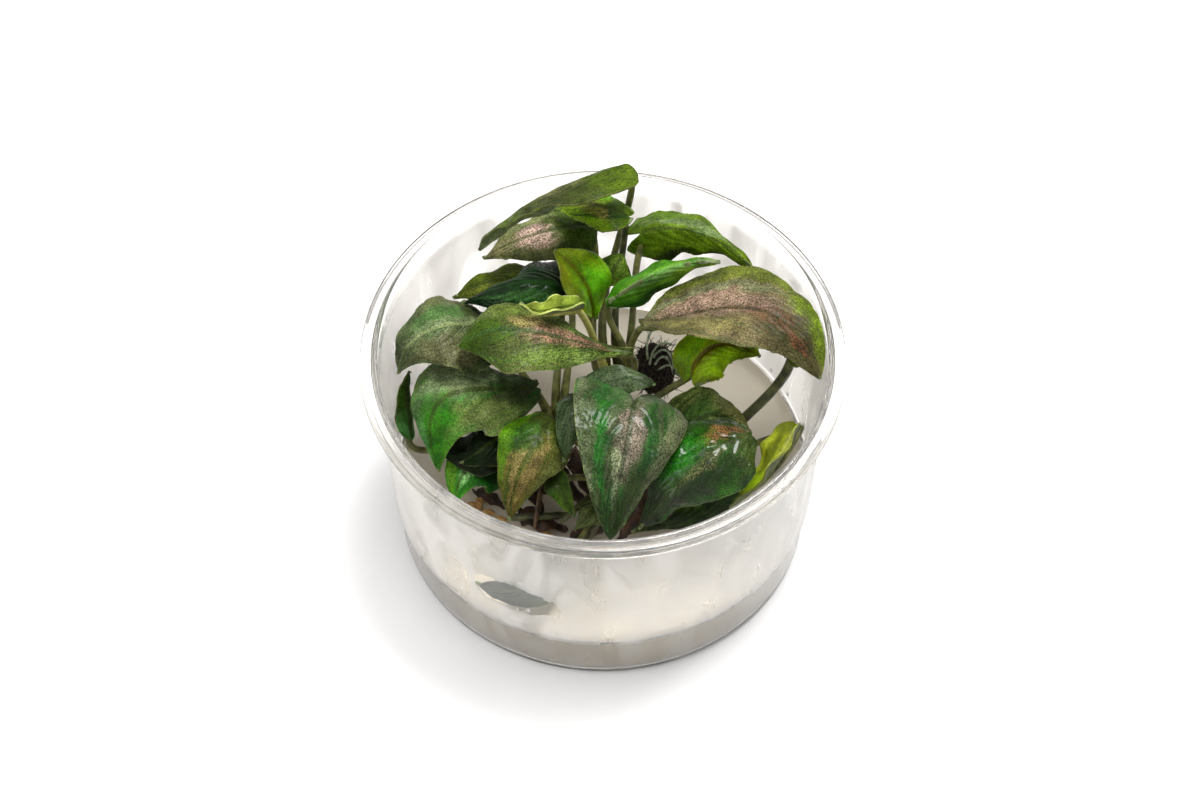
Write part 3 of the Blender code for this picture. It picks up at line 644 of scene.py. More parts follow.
def leaf_skin(name, leaf, ground, spots, streak, vein, rib, rim, gloss, grain):
    # The upper skin: a ground that changes along the leaf, soft streaks of one darker green
    # between the side veins, spots of other pigment given as (t, v, length, width, colour,
    # strength, speckle), vein lines, a thin pale margin, and the fine grain of its cells, which
    # is drawn coarser than the real 0.05 mm so that it shows.
    made, tree, shader = new_material(name, {
        "IOR": 1.42, "Specular IOR Level": 0.1, "Coat Weight": gloss, "Coat Roughness": 0.12})
    uv = node(tree, "ShaderNodeUVMap", {"uv_map": "UVMap"}).outputs["UV"]
    here = node(tree, "ShaderNodeTexCoord").outputs["Object"]
    flat = node(tree, "ShaderNodeVectorMath", {"operation": "MULTIPLY_ADD", 1: (1, -2, 0),
                                               2: (0, 1, 0)}, {0: uv}).outputs[0]
    drift = node(tree, "ShaderNodeTexNoise", {"Scale": 1 / PATCH_SIZE, "Detail": 3.0},
                 {"Vector": here})
    place = node(tree, "ShaderNodeVectorMath", {"operation": "MULTIPLY_ADD", 1: (0.3, 0.55, 0),
                                                2: (-0.15, -0.275, 0)}, {0: drift.outputs["Color"]})
    place = node(tree, "ShaderNodeVectorMath", {"operation": "ADD"}, {0: place.outputs[0], 1: flat})
    fine = node(tree, "ShaderNodeTexNoise", {"Scale": 1 / CELL_GRAIN, "Detail": 2.0,
                                             "Roughness": 0.6}, {"Vector": here}).outputs["Fac"]
    t = node(tree, "ShaderNodeSeparateXYZ", links={0: place.outputs[0]}).outputs["X"]
    ramp = node(tree, "ShaderNodeValToRGB", links={0: t})
    ramp.color_ramp.elements[0].position = 0.1
    ramp.color_ramp.elements[0].color = linear(ground[0])
    ramp.color_ramp.elements[1].position = 0.9
    ramp.color_ramp.elements[1].color = linear(ground[2])
    ramp.color_ramp.elements.new(0.5).color = linear(ground[1])
    colour = ramp.outputs["Color"]

    across = node(tree, "ShaderNodeSeparateXYZ", links={0: flat}).outputs["Y"]
    along = node(tree, "ShaderNodeSeparateXYZ", links={0: flat}).outputs["X"]
    aside = maths(tree, "ABSOLUTE", across, 0)
    bow = maths(tree, "MULTIPLY_ADD", maths(tree, "MULTIPLY", aside, aside), 0.65, 0.45)
    phase = maths(tree, "SUBTRACT", along, maths(tree, "MULTIPLY", aside, bow))
    flow = node(tree, "ShaderNodeCombineXYZ", {2: leaf.seed * 1.7},
                {0: maths(tree, "MULTIPLY", phase, 5.0), 1: maths(tree, "MULTIPLY", across, 1.3)})
    flow = node(tree, "ShaderNodeTexNoise", {"Scale": 1.0, "Detail": 2.0, "Distortion": 0.4},
                {"Vector": flow.outputs[0]})
    colour = paint(tree, colour, span(tree, flow.outputs["Fac"], 0.46, 0.64, 0.0, 0.8), streak)
    for at, off, length, width, tone, strength, speckle in spots:
        away = node(tree, "ShaderNodeVectorMath", {"operation": "MULTIPLY_ADD",
                    1: (1 / length, 1 / width, 0), 2: (-at / length, -off / width, 0)},
                    {0: place.outputs[0]})
        away = node(tree, "ShaderNodeVectorMath", {"operation": "LENGTH"}, {0: away.outputs[0]})
        mask = span(tree, away.outputs["Value"], 1.35, 0.6, 0.0, strength)
        if speckle:
            mask = maths(tree, "MULTIPLY", mask, span(tree, fine, 0.46, 0.58, 1.0 - speckle, 1.0))
        colour = paint(tree, colour, mask, tone)
    off = maths(tree, "PINGPONG", maths(tree, "MULTIPLY", phase, leaf.veins), 0.5)
    colour = paint(tree, colour, span(tree, off, 0.0, 0.07, 0.6, 0.0), vein)
    off = maths(tree, "PINGPONG", maths(tree, "MULTIPLY", phase, leaf.veins * 4), 0.5)
    colour = paint(tree, colour, span(tree, off, 0.0, 0.4, 0.12, 0.0), vein)
    mm = 1.0 / leaf.half_width
    colour = paint(tree, colour, span(tree, aside, 0.4 * mm, 0.8 * mm, 0.7, 0.0), rib)
    colour = paint(tree, colour, span(tree, aside, 1.0 - 0.3 * mm, 1.0, 0.0, 0.55), rim)
    blotch = span(tree, drift.outputs["Fac"], 0.35, 0.65, 0.6, 1.15)
    cells = span(tree, fine, 0.3, 0.7, 1.0 - 1.9 * grain, 1.0 + 1.9 * grain)
    shade = maths(tree, "MULTIPLY", blotch, cells)
    colour = node(tree, "ShaderNodeVectorMath", {"operation": "SCALE"}, {0: colour, "Scale": shade})
    tree.links.new(colour.outputs[0], shader.inputs["Base Color"])
    tree.links.new(span(tree, fine, 0.3, 0.7, 0.4 - 0.1 * gloss, 0.6 - 0.2 * gloss),
                   shader.inputs["Roughness"])
    lift = node(tree, "ShaderNodeBump", {"Strength": 0.4, "Distance": 0.08 * MM}, {"Height": fine})
    tree.links.new(lift.outputs["Normal"], shader.inputs["Normal"])
    return made


# The underside of every leaf is paler and matt; the stalks are smooth, soft and olive.
leaf_underside = mottled("leaf_underside", "4c5a34", "74804f", 1.4, 0.6)
leaf_stalk = mottled("leaf_stalk", "484c22", "74763c", 2.0, 0.42)


def grow(name, crown, heading, sprout, slot, ground, spots=(), streak="204b10", vein="3e4b22",
         rib="364118", rim="70763e", gloss=0.05, grain=0.24, rows=90, columns=44, bend=(0, 0, 0),
         stalk=None, girth=1.0, **shape):
    # One leaf: its blade, and its stalk from the crown's flank to the far end of the midrib.
    leaf = Blade(seed=len(bpy.data.objects), **shape)
    skin = leaf_skin(name + "_skin", leaf, ground, spots, streak, vein, rib, rim, gloss, grain)
    blade = make_blade(name, leaf, rows, columns, skin, leaf_underside)
    turn = math.radians(heading)
    out = Vector((math.cos(turn), math.sin(turn), 0.0))
    clear = crown_radius(crown, sprout) + 1.25 * STALK_RADIUS + GAP
    root = CROWNS[crown][0] + out * clear
    root.z = sprout
    end = leaf.midrib[0] - leaf.normal(0.0, 0.0) * (LEAF_THICKNESS / 2 + 0.9)
    length = (end - root).length
    rise = root + (Vector((0, 0, 1)) + out * 0.25) * (length * 0.35) + Vector(bend)
    turn = (Vector((0, 0, 1)) + direction(leaf.midrib, 0.0) * 0.7).normalized()
    turn = end - turn * (length * 0.35) + Vector(bend)
    path = [root - out * 0.9 * STALK_RADIUS - Vector((0, 0, 2.2)), root - Vector((0, 0, 1.0))]
    path += [bezier((root, rise, turn, end), step / 22) for step in range(23)]
    radii = [0.7, 1.0] + [1.1 - 0.35 * min(step / 9, 1.0) for step in range(23)]
    for step in range(1, 15):
        t = 0.75 * step / 14
        radius = 0.75 - 0.55 * step / 14
        ridge = math.radians(sum(leaf.fold) * (1 - t) + sum(leaf.fold_tip) * t) / 2
        depth = (0.45 * (1 - t) + 0.3 + radius) / max(math.cos(max(ridge, 0.0)), 0.4)
        path.append(leaf.point(t, 0.0) - leaf.normal(t, 0.0) * depth)
        radii.append(radius)
    stem = tube("stalk", path, [girth * radius for radius in radii], 10)
    stem.data.materials.append(stalk or leaf_stalk)
    finish(join([blade, stem], name + "_grown"), None, slot, name)


olive_stalk = mottled("olive_stalk", "2c3018", "55582c", 2.0, 0.42)
brown_stalk = mottled("brown_stalk", "3a2a1a", "6d5434", 2.0, 0.5)
grow("leaf_back_tall", "crown_back", 116, 24, "leaf_olive", ("303f07", "3d3f23", "28350c"),
     spots=((0.1, 0.0, 0.14, 1.1, "4d6209", 0.8, 0.2), (0.5, 0.1, 0.3, 0.45, "6a6a40", 0.7, 0.6),
            (0.8, -0.6, 0.25, 0.4, "495c14", 0.7, 0.0)),
     midrib=((4.5, 35, 73.5), (-7, 31, 72), (-17.5, 28.5, 66), (-26, 27, 55)), width=18,
     face=(0, 0.5, 0.8), face_tip=(0, 0.75, 0.65), fold=(15, 45), fold_tip=(15, 5),
     shoulder=0.25, bend=(-3.5, 7.5, -3),
     streak="3a4a17", vein="3a4817", rib="36420c")
grow("leaf_back_pink", "crown_back", 155, 24, "leaf_grey_pink", ("314c09", "6a6442", "666242"),
     spots=((0.6, 0.0, 0.16, 0.5, "ba9b91", 0.85, 0.55),
            (0.55, 0.75, 0.3, 0.25, "717b4d", 0.8, 0.2),
            (0.2, 0.0, 0.2, 1.2, "314c09", 0.85, 0.0), (0.5, -0.9, 0.5, 0.35, "2e3e0d", 0.8, 0.2)),
     midrib=((-2.3, 35.5, 53), (-9, 33, 55), (-16.5, 31, 54), (-25.5, 29.5, 49)), width=16,
     face=(0, -0.1, 1), fold=(10, 10), shoulder=0.03, bend=(-1.5, 0, 0),
     streak="4f5c2d", vein="5b4e34", grain=0.3)
grow("leaf_back_dark", "crown_back", 68, 23, "leaf_deep_green", ("5f7710", "6c8f17", "687b16"),
     spots=((0.45, -0.2, 0.2, 0.3, "8f6c46", 0.6, 0.7), (0.6, 0.6, 0.3, 0.3, "528d17", 0.7, 0.0),
            (0.15, 0.0, 0.15, 1.0, "1d3106", 0.7, 0.0)),
     midrib=((5.4, 33, 59), (0.2, 33.2, 61.5), (-5, 34.5, 61), (-10.5, 36.5, 57)), width=11,
     fold=(10, 10), curl=(10, 10), bend=(-4.5, 1.5, 0), stalk=olive_stalk,
     vein="264609", rim="717d40")
grow("leaf_back_smooth", "crown_back", 20, 29, "leaf_mid_green", ("3e770f", "5f8d26", "7c9730"),
     # The pale teal spot along the middle is a painted highlight, the sheen of the smooth blade.
     spots=((0.55, 0.1, 0.3, 0.25, "688d51", 0.75, 0.2), (0.6, -0.7, 0.4, 0.35, "316c17", 0.7, 0.0),
            (0.3, 0.9, 0.4, 0.3, "17390c", 0.8, 0.0)),
     midrib=((1, 17.7, 48.7), (7.5, 19.3, 53.5), (15.5, 21.2, 56.5), (24.5, 23, 55.5)), width=13,
     fold=(25, 75), curl=(15, 20), shoulder=0.03,
     streak="316c14", vein="2e5c17", rib="527f34", gloss=0.15, grain=0.14)
grow("leaf_back_right", "crown_back", 50, 25, "leaf_mid_green", ("4d6610", "576f10", "5d7310"),
     spots=((0.5, -0.35, 0.4, 0.22, "6c7d51", 0.8, 0.3), (0.5, 0.4, 0.45, 0.3, "5b7710", 0.8, 0.1),
            # The near-black band at the margin of the steeply folded half is painted shade, where
            # that half hangs down.
            (0.5, 0.95, 0.5, 0.22, "1d2d06", 0.85, 0.0), (0.2, -0.7, 0.2, 0.3, "4f6f10", 0.7, 0.1)),
     midrib=((8.4, 30.4, 56.5), (14.7, 29, 59.5), (23, 26.5, 59), (32, 24.5, 51)), width=18,
     fold=(15, 75), curl=(15, 20), shoulder=0.2, lobe=6, bend=(1, -1, 0),
     streak="2e4e0d", vein="2e4609")
grow("leaf_young", "crown_back", 185, 30, "leaf_bright_green", ("709909", "74a810", "8b9717"),
     spots=((0.4, 0.35, 0.25, 0.5, "66b817", 0.85, 0.0), (0.6, -0.8, 0.5, 0.35, "706f10", 0.8, 0.2),
            (0.85, 0.2, 0.15, 0.5, "809d26", 0.6, 0.0)),
     midrib=((-2, 21, 39), (-3, 22.5, 46), (-5.5, 23.5, 52), (-10, 24, 58)), width=12,
     face=(0.7, -1, 0.6), fold=(-30, -20), curl=(10, 10), shoulder=0, lobe=0, widest=1.1, rows=70,
     columns=30,
     streak="528d0d", vein="477309", rib="7e7d1f", gloss=0.2, grain=0.14)
grow("leaf_small_blade", "crown_back", 130, 29, "leaf_olive", ("4f6a17", "5b7722", "687f26"),
     midrib=((0.8, 25.3, 45.5), (2, 26.8, 47.3), (3.2, 28.3, 48.8), (4.6, 29.6, 49.8)), width=9,
     face=(-0.3, -0.8, 1), lobe=0, wave=0.2, rows=50, columns=20, girth=0.8)
grow("leaf_left_behind", "crown_left", 110, 21, "leaf_olive", ("3e4e0d", "4f5e14", "4f5c17"),
     spots=((0.6, -0.4, 0.3, 0.5, "707729", 0.6, 0.4),),
     midrib=((-10, 30.5, 42), (-17, 28, 44.5), (-25, 26.5, 44.5), (-32, 25, 41)), width=12,
     face=(0, 0, 1),
     streak="314209", vein="36420c")

# The leaves on the right: a long grey-pink blade over the rim, with bright green ones under
# and beside it. The thick stalk of the one below it shows in the gap.
grow("leaf_right_long", "crown_back", 325, 27, "leaf_grey_pink", ("575038", "726646", "474128"),
     spots=((0.4, -0.12, 0.26, 0.3, "8f7268", 0.75, 0.65),
            (0.35, -0.5, 0.35, 0.12, "6a7351", 0.7, 0.3),
            (0.45, -0.95, 0.5, 0.3, "58661a", 0.85, 0.1), (0.3, 0.55, 0.3, 0.3, "706c3b", 0.7, 0.3),
            (0.86, 0.2, 0.2, 0.45, "36311a", 0.85, 0.3),
            (0.66, 0.05, 0.14, 0.2, "82423a", 0.45, 0.95),
            (0.86, 0.25, 0.08, 0.2, "7d3730", 0.45, 0.97),
            (0.88, -0.8, 0.14, 0.5, "5d730d", 0.85, 0.1)),
     midrib=((8.1, 12.2, 49), (20, 10.8, 54), (34, 7.6, 58), (44.5, -3.9, 50.5)), width=28,
     fold=(0, -55), fold_tip=(5, 15), curl=(20, -5), lobe=0, widest=0.82, rows=110, columns=64,
     streak="4f5630", vein="474226", rib="3e3b1f", grain=0.34, veins=10)
grow("leaf_right_under", "crown_right", 25, 20, "leaf_bright_green", ("475617", "5d6a20", "475617"),
     spots=((0.5, 0.8, 0.45, 0.3, "808934", 0.8, 0.0), (0.4, -0.5, 0.3, 0.4, "475a17", 0.6, 0.3)),
     midrib=((38.3, 4.5, 47), (37.9, 8.5, 51), (34, 14.5, 52), (27.5, 21, 51)), width=13,
     face=(-0.4, 0, 1), fold=(15, 5), curl=(20, 20), shoulder=0.05,
     stalk=olive_stalk, girth=1.4,
     streak="3c4c10", vein="3e4a10")
grow("leaf_right_small", "crown_front", 70, 23, "leaf_bright_green", ("808f0d", "89a409", "6a7b09"),
     spots=((0.45, 0.6, 0.35, 0.35, "8bb409", 0.9, 0.0),
            # The dark olive patch near the tip is a painted shadow of the long grey-pink leaf over
            # it.
            (0.85, -0.2, 0.14, 0.6, "364609", 0.7, 0.2),
            (0.3, -0.6, 0.25, 0.3, "5f8d09", 0.7, 0.0), (0.45, 0.0, 0.4, 0.1, "5f4e10", 0.7, 0.2)),
     midrib=((18.5, 4.5, 41), (21.5, 8, 44.5), (26.5, 9, 45.5), (33, 8, 42.5)), width=13,
     face=(-0.3, -0.4, 1), fold=(5, 5), curl=(10, 10), shoulder=0.03, lobe=2,
     bend=(-4, 4, 0),
     streak="5d8709", vein="476608", rib="4f3e0d", rim="91a426", grain=0.14)
grow("leaf_right_wall", "crown_right", 345, 19, "leaf_bright_green", ("858f1b", "99a426", "919f26"),
     spots=((0.5, -0.6, 0.5, 0.35, "b6b854", 0.85, 0.0), (0.5, 0.55, 0.4, 0.2, "3e460d", 0.8, 0.3),
            (0.8, 0.2, 0.15, 0.5, "91b810", 0.7, 0.0)),
     midrib=((40.5, -5.5, 37), (37.5, -11, 35), (33.5, -15, 31), (26.5, -18, 25)), width=10,
     face=(-0.6, 0.5, 1), fold=(-30, -30), curl=(-10, -10), lobe=0,
     rows=70, columns=30,
     streak="78871f", vein="5f6a14", rib="aaac54", grain=0.14)
grow("leaf_round", "crown_front", 20, 22, "leaf_olive", ("818e4a", "899750", "8b8b4c"),
     spots=((0.5, 0.7, 0.35, 0.3, "705c3b", 0.8, 0.5), (0.35, -0.2, 0.25, 0.4, "316622", 0.8, 0.2),
            (0.8, -0.5, 0.2, 0.4, "5f5c3b", 0.6, 0.5)),
     midrib=((17.5, -7, 32.5), (20.5, -3, 35.5), (25, -2, 35.5), (31, -3, 30.5)), width=18,
     face=(0, -0.3, 1), shoulder=0.05, lobe=2, stalk=olive_stalk,
     streak="2e4e17", vein="2e3914", grain=0.32)
grow("leaf_glossy", "crown_right", 310, 22, "leaf_deep_green", ("2c4414", "254c10", "1f290f"),
     spots=((0.22, 0.3, 0.2, 0.22, "804c34", 0.85, 0.8),
            (0.6, -0.45, 0.25, 0.3, "171d0d", 0.85, 0.4),
            (0.5, 0.5, 0.2, 0.35, "1b5e0d", 0.85, 0.1), (0.08, -0.4, 0.12, 0.6, "3e4a22", 0.8, 0.3),
            (0.85, 0.3, 0.14, 0.5, "1d2510", 0.8, 0.3),
            (0.45, -0.1, 0.2, 0.12, "706249", 0.6, 0.8)),
     midrib=((31, -9.5, 39), (23, -15, 41), (15, -21, 36.5), (7.5, -25, 27)), width=21,
     face=(0.1, -0.2, 1), face_tip=(0, -1, 0.8), fold=(15, 25), curl=(25, 25), shoulder=0.04,
     streak="174209", vein="172909", rim="707d46", gloss=0.5, grain=0.34, veins=8, crumple=1.8)
grow("leaf_front_low", "crown_right", 250, 18, "leaf_deep_green", ("1d3109", "28420c", "2c3b0d"),
     spots=((0.5, 0.2, 0.2, 0.4, "5d7d1b", 0.7, 0.6),),
     midrib=((28, -8, 21.5), (22, -14, 24), (15, -18, 24), (6, -21, 20)), width=13,
     face=(0, -0.3, 1),
     streak="152508", vein="1d3109", gloss=0.3)

# The leaves on the left: a dark rolled blade, a broad veined grey one over the rim, and the
# green ones below them.
grow("leaf_rolled", "crown_left", 80, 23, "leaf_deep_green", ("0d2106", "113109", "0b1d06"),
     # The paler green stripe along the roll is a painted highlight, the sheen on its top edge.
     spots=((0.5, -0.35, 0.35, 0.14, "3c662d", 0.6, 0.3),
            (0.6, 0.6, 0.35, 0.3, "154c0f", 0.8, 0.0)),
     midrib=((-6.5, 21, 47), (-12, 21.5, 51), (-20.5, 20.5, 51), (-30, 20.5, 45)), width=21,
     face=(0, 0.1, 1), face_tip=(0, 0.9, 1), fold=(45, 5), curl=(50, 10),
     shoulder=0.1, lobe=-2,
     streak="0b2b09", vein="0d2d0d", rib="1d3e14", rim="3e5629", gloss=0.15, grain=0.2, crumple=0.3)
grow("leaf_left_veined", "crown_left", 140, 20, "leaf_grey_green", ("2a3314", "495834", "4d5638"),
     spots=((0.4, 0.35, 0.3, 0.35, "3e662d", 0.75, 0.25),
            (0.5, -0.6, 0.35, 0.4, "5f5839", 0.8, 0.4),
            (0.12, 0.0, 0.15, 1.0, "2c3514", 0.85, 0.2), (0.5, 0.1, 0.4, 0.12, "707b56", 0.6, 0.4),
            (0.3, 0.85, 0.3, 0.2, "5f563b", 0.6, 0.6)),
     midrib=((-23.5, 15, 44), (-30.5, 12, 49), (-38.5, 8.5, 49), (-43, 5.5, 40)), width=22,
     fold=(15, 10), shoulder=0.04, lobe=2,
     streak="425c2d", vein="78835d", rib="808b5b", grain=0.3, veins=8)
grow("leaf_left_front", "crown_left", 215, 23, "leaf_mid_green", ("3e4829", "707d4d", "3c6f17"),
     spots=((0.5, 0.45, 0.3, 0.35, "85936b", 0.85, 0.3),
            (0.45, -0.55, 0.35, 0.35, "748342", 0.85, 0.35),
            (0.8, 0.0, 0.2, 0.6, "266c09", 0.85, 0.2), (0.9, 0.6, 0.12, 0.4, "5f9d51", 0.7, 0.3),
            # The dark patch by the stalk is painted shade, under the leaves over it.
            (0.15, 0.0, 0.14, 0.6, "2e391b", 0.8, 0.2)),
     midrib=((-14, 4.5, 37), (-24, 0.5, 41.5), (-34, -3, 41.5), (-34.5, -12.5, 29.5)), width=22,
     face_tip=(-0.7, -0.7, 0.6), fold=(20, 10), curl=(20, 20),
     shoulder=0.06, wave=0.3, widest=1.1, ease=0.42,
     streak="20661b", vein="365224", veins=8)
grow("leaf_left_low", "crown_left", 240, 19, "leaf_deep_green", ("103e09", "195e12", "3a7b16"),
     # The pale spot in the middle is a painted highlight, and the near-black band at the base is
     # painted shade under the leaves above it.
     spots=((0.6, -0.1, 0.25, 0.25, "85b86d", 0.8, 0.2), (0.2, 0.0, 0.2, 1.0, "0b2506", 0.85, 0.0),
            (0.7, 0.6, 0.3, 0.3, "5f8f17", 0.7, 0.0)),
     midrib=((-20, -4, 24), (-26, -8, 27), (-29.5, -11, 26.5), (-31, -15.5, 22.5)), width=14,
     face=(0, -0.4, 1), shoulder=0.02, curl=(5, 5), wave=0.2,
     streak="0d5c09", vein="104e0d", gloss=0.2)
# Its near-black ground is painted shade: the leaf lies deep under the others.
grow("leaf_left_shadow", "crown_left", 265, 20, "leaf_deep_green", ("0d1506", "111b06", "0f2506"),
     midrib=((-16, 0, 30), (-20, -4, 32), (-25, -8, 32), (-30, -9, 28)), width=13,
     face=(0, -0.4, 1), lobe=0,
     streak="0b1505", vein="0d1506")
grow("leaf_left_wall", "crown_left", 190, 18, "leaf_olive", ("4f8d49", "2e460d", "314e0d"),
     midrib=((-40.5, 0, 24), (-41, 3, 29), (-41.2, 5.5, 34), (-40.5, 7.5, 38)), width=7,
     face=(1, -0.5, 0.3), lobe=0, wave=0.2, rows=50, columns=20)

# The leaves in the middle: the heart-shaped one at the front, a long flat grey-green one
# behind it with a small curled shoot, and a striped one beside them.
yellow_stalk = mottled("yellow_stalk", "8a8a40", "b0ac5c", 2.0, 0.42)
grow("leaf_centre_left", "crown_back", 265, 23, "leaf_grey_green", ("474c26", "595e32", "314609"),
     spots=((0.32, 0.05, 0.25, 0.3, "97675c", 0.8, 0.75),
            (0.3, -0.65, 0.35, 0.3, "5f7330", 0.85, 0.2),
            (0.88, 0.1, 0.16, 1.0, "324808", 0.85, 0.2), (0.6, 0.75, 0.35, 0.3, "535a32", 0.8, 0.2),
            (0.55, 0.35, 0.12, 0.2, "aa935f", 0.7, 0.6), (0.6, 0.7, 0.2, 0.3, "596c22", 0.7, 0.2)),
     midrib=((6.5, 6.5, 46), (-8, 4.5, 53.5), (-19.5, 5, 56), (-30, 4, 51.5)), width=19,
     fold=(15, 10), lobe=0, widest=1.4, rows=110, columns=50,
     streak="3e5c1b", vein="3e4e26", rib="2e4622", grain=0.32, veins=11)
grow("leaf_curled", "crown_back", 222, 30, "leaf_pale_green", ("809738", "9dac42", "a6b451"),
     midrib=((-4.5, 12.5, 54), (-9, 9.5, 56.5), (-13, 8.5, 57), (-17, 11, 57)), width=6,
     fold=(-40, -40), curl=(-30, -30), lobe=0, wave=0.5, rows=60, columns=24, stalk=yellow_stalk,
     streak="899d34", vein="708730", rim="bac071", grain=0.12)
grow("leaf_heart", "crown_front", 270, 21, "leaf_mid_green", ("475434", "404c2b", "2a3516"),
     spots=((0.38, -0.02, 0.26, 0.26, "857268", 0.85, 0.5),
            (0.45, 0.55, 0.4, 0.13, "155610", 0.9, 0.1),
            (0.3, -0.38, 0.25, 0.12, "204e1b", 0.85, 0.15),
            (0.55, -0.5, 0.2, 0.12, "174216", 0.85, 0.15),
            (0.5, -0.85, 0.5, 0.16, "636248", 0.8, 0.5), (0.4, 0.9, 0.45, 0.1, "5f6649", 0.8, 0.5),
            (0.78, -0.5, 0.2, 0.4, "202b0d", 0.85, 0.3),
            (0.62, 0.12, 0.16, 0.12, "89936d", 0.7, 0.4),
            (0.12, 0.4, 0.12, 0.35, "2e5629", 0.5, 0.3)),
     midrib=((6.5, -5.5, 46), (5.5, -14, 47.5), (3.5, -23, 42), (1.4, -31, 31.5)), width=25.5,
     face=(0.05, -0.45, 1), face_tip=(0, -1, 0.5), fold=(8, -8), curl=(30, 20),
     shoulder=0.2, lobe=8, corner=(0.8, 0.6), rows=110, columns=64,
     streak="204e1b", vein="2e461f", rib="313e22", gloss=0.25, grain=0.32, veins=8)
grow("leaf_striped", "crown_front", 185, 22, "leaf_olive", ("435217", "5f5a2d", "5f5822"),
     spots=((0.65, -0.3, 0.4, 0.16, "7a683f", 0.8, 0.35),
            (0.6, 0.2, 0.4, 0.14, "7a683f", 0.8, 0.35),
            (0.35, 0.8, 0.4, 0.25, "4f8309", 0.85, 0.1), (0.3, 0.3, 0.2, 0.4, "1d4e10", 0.8, 0.1),
            (0.5, -0.85, 0.4, 0.25, "4f5229", 0.8, 0.4)),
     midrib=((-10.5, -4.5, 38), (-14, -12, 39.5), (-17.5, -18, 36), (-19.5, -23, 27)), width=17,
     face=(0, -0.5, 1), face_tip=(-0.3, -1, 0.4), curl=(20, 20),
     shoulder=0.04,
     streak="3e4e1b", vein="313b14", grain=0.3, veins=8)

# The lowest leaves: small dark ones near the gel, soft and limp. One of them is pressed
# against the wall and shows through its wiped patch.
grow("leaf_narrow", "crown_front", 205, 19, "leaf_deep_green", ("1d2909", "2e460c", "496616"),
     midrib=((-10.5, -13, 30), (-9.5, -16, 30.5), (-8, -18.5, 28.5), (-6, -20, 24)), width=6,
     face=(-0.6, -0.5, 1), fold=(-20, -20), lobe=0, wave=0.2, rows=50, columns=20)
grow("leaf_wall_low", "crown_front", 240, 17.5, "leaf_grey_green", ("1b2519", "212b1d", "1b2519"),
     spots=((0.5, 0.0, 0.3, 0.6, "2a3322", 0.7, 0.5),),
     midrib=((-9, -29, 20), (-13, -34, 22.5), (-18, -36.5, 22.5), (-26, -33, 20)), width=11,
     face=(0, -0.5, 1), lobe=0,
     streak="425238", vein="3e4c38")
grow("leaf_triangle", "crown_front", 300, 18, "leaf_olive", ("5f6a3f", "6a7542", "5f6a3f"),
     midrib=((-0.5, -15.5, 23), (-2, -18.5, 24.5), (-3.5, -20.5, 24.5), (-6, -21.5, 21.5)), width=7,
     face=(0, -0.5, 1), lobe=0, wave=0.2, rows=50, columns=20,
     streak="2e3b1b")

# The half-hidden leaves: small young blades between the larger ones, whose stalks are out of
# sight: two grey-green ones behind the heart-shaped leaf, and one at the left painted nearly
# black as painted shade, deep under the leaves over it.
HALF_HIDDEN_LEAVES = (
    (((-4, -3.5, 43.5), (1, -1.8, 46.5), (6, -1.6, 47.2), (10.8, -2.2, 46.2)),
     8, (0, -0.5, 1), 12, ("38482c", "4c5a3c", "3c4a2c")),
    (((-3.5, -0.5, 40.5), (-5.2, -4.5, 42.5), (-7, -9, 41), (-8.2, -14, 35.5)),
     10, (-0.2, -0.6, 1), 15, ("38482c", "4c5a3c", "3c4a2c")),
    # Painted shade: this leaf's nearly black ground stands for the shadow under the leaves above.
    (((-21, -6, 28), (-26, -7, 30), (-30.5, -6.5, 29.5), (-35, -4.5, 27)),
     11, (0, -0.3, 1), 12, ("0c1408", "101a08", "0c1a08")),
)
parts = []
for place, (midrib, width, face, fold, ground) in enumerate(HALF_HIDDEN_LEAVES):
    leaf = Blade(midrib, width, face, fold=(fold, fold), shoulder=0.03, seed=place + 40)
    skin = leaf_skin("small_leaf_skin", leaf, ground, (), "1c3414", ground[1], ground[2],
                     "4c5434", 0.1, 0.3)
    parts.append(make_blade("small_leaf", leaf, 60, 30, skin, leaf_underside))
finish(join(parts, "half_hidden_leaves"), None, "leaf_mid_green")

# The withered scraps: brown, curled pieces of older leaves that lie on the gel and lean on
# the crowns, papery and nearly black where they are wet.
withered = mottled("withered_leaf", "150f09", "4a2d16", 1.3, 0.6, 0.2)
scraps = (
    ((-17, -12, 16.0), (-14, -14, 16.8), (-11, -16, 16.6), (-7.5, -18.0, 15.8), 8, (0.1, 0, 1)),
    ((-27, -7, 15.4), (-24.5, -8.5, 16.0), (-22.5, -10, 15.8), (-21, -12, 15.2), 4, (0, -0.2, 1)),
    ((-16, -6, 17.5), (-12, -7, 19.5), (-9, -9, 20.0), (-5, -12, 17.5), 7, (0, -0.6, 1)),
    ((-13, -2, 19.0), (-10, -5, 21.5), (-7, -9, 21.0), (-4, -13, 18.5), 6, (0.3, -0.5, 1)),
    ((-5, 0, 20.5), (-5, -4, 22.5), (-4, -8, 22.0), (-2, -13, 19.5), 6, (-0.3, -0.4, 1)),
    ((-20, -2, 18.0), (-18, -6, 19.5), (-15, -10, 19.0), (-13, -14, 17.0), 6, (0, -0.3, 1)),
    ((2, -14, 17.5), (-1, -17, 18.5), (-4, -20, 18.0), (-8, -23, 16.2), 7, (0, -0.4, 1)),
    ((12, -10, 19.5), (10, -14, 20.5), (7, -18, 19.5), (3, -21, 17.0), 8, (0, -0.4, 1)),
    ((-6, 8, 23.5), (-7, 4, 25.0), (-8, 0, 24.5), (-10, -4, 22.0), 6, (0.2, -0.3, 1)),
)
parts = []
for turn, (*midrib, width, face) in enumerate(scraps):
    leaf = Blade(midrib, width, face, fold=(20, -15), curl=(60, 40), wave=1.0, lobe=0, seed=turn)
    parts.append(make_blade("scrap", leaf, 40, 20, withered))
finish(join(parts, "withered_scraps"), withered, "dark_roots")

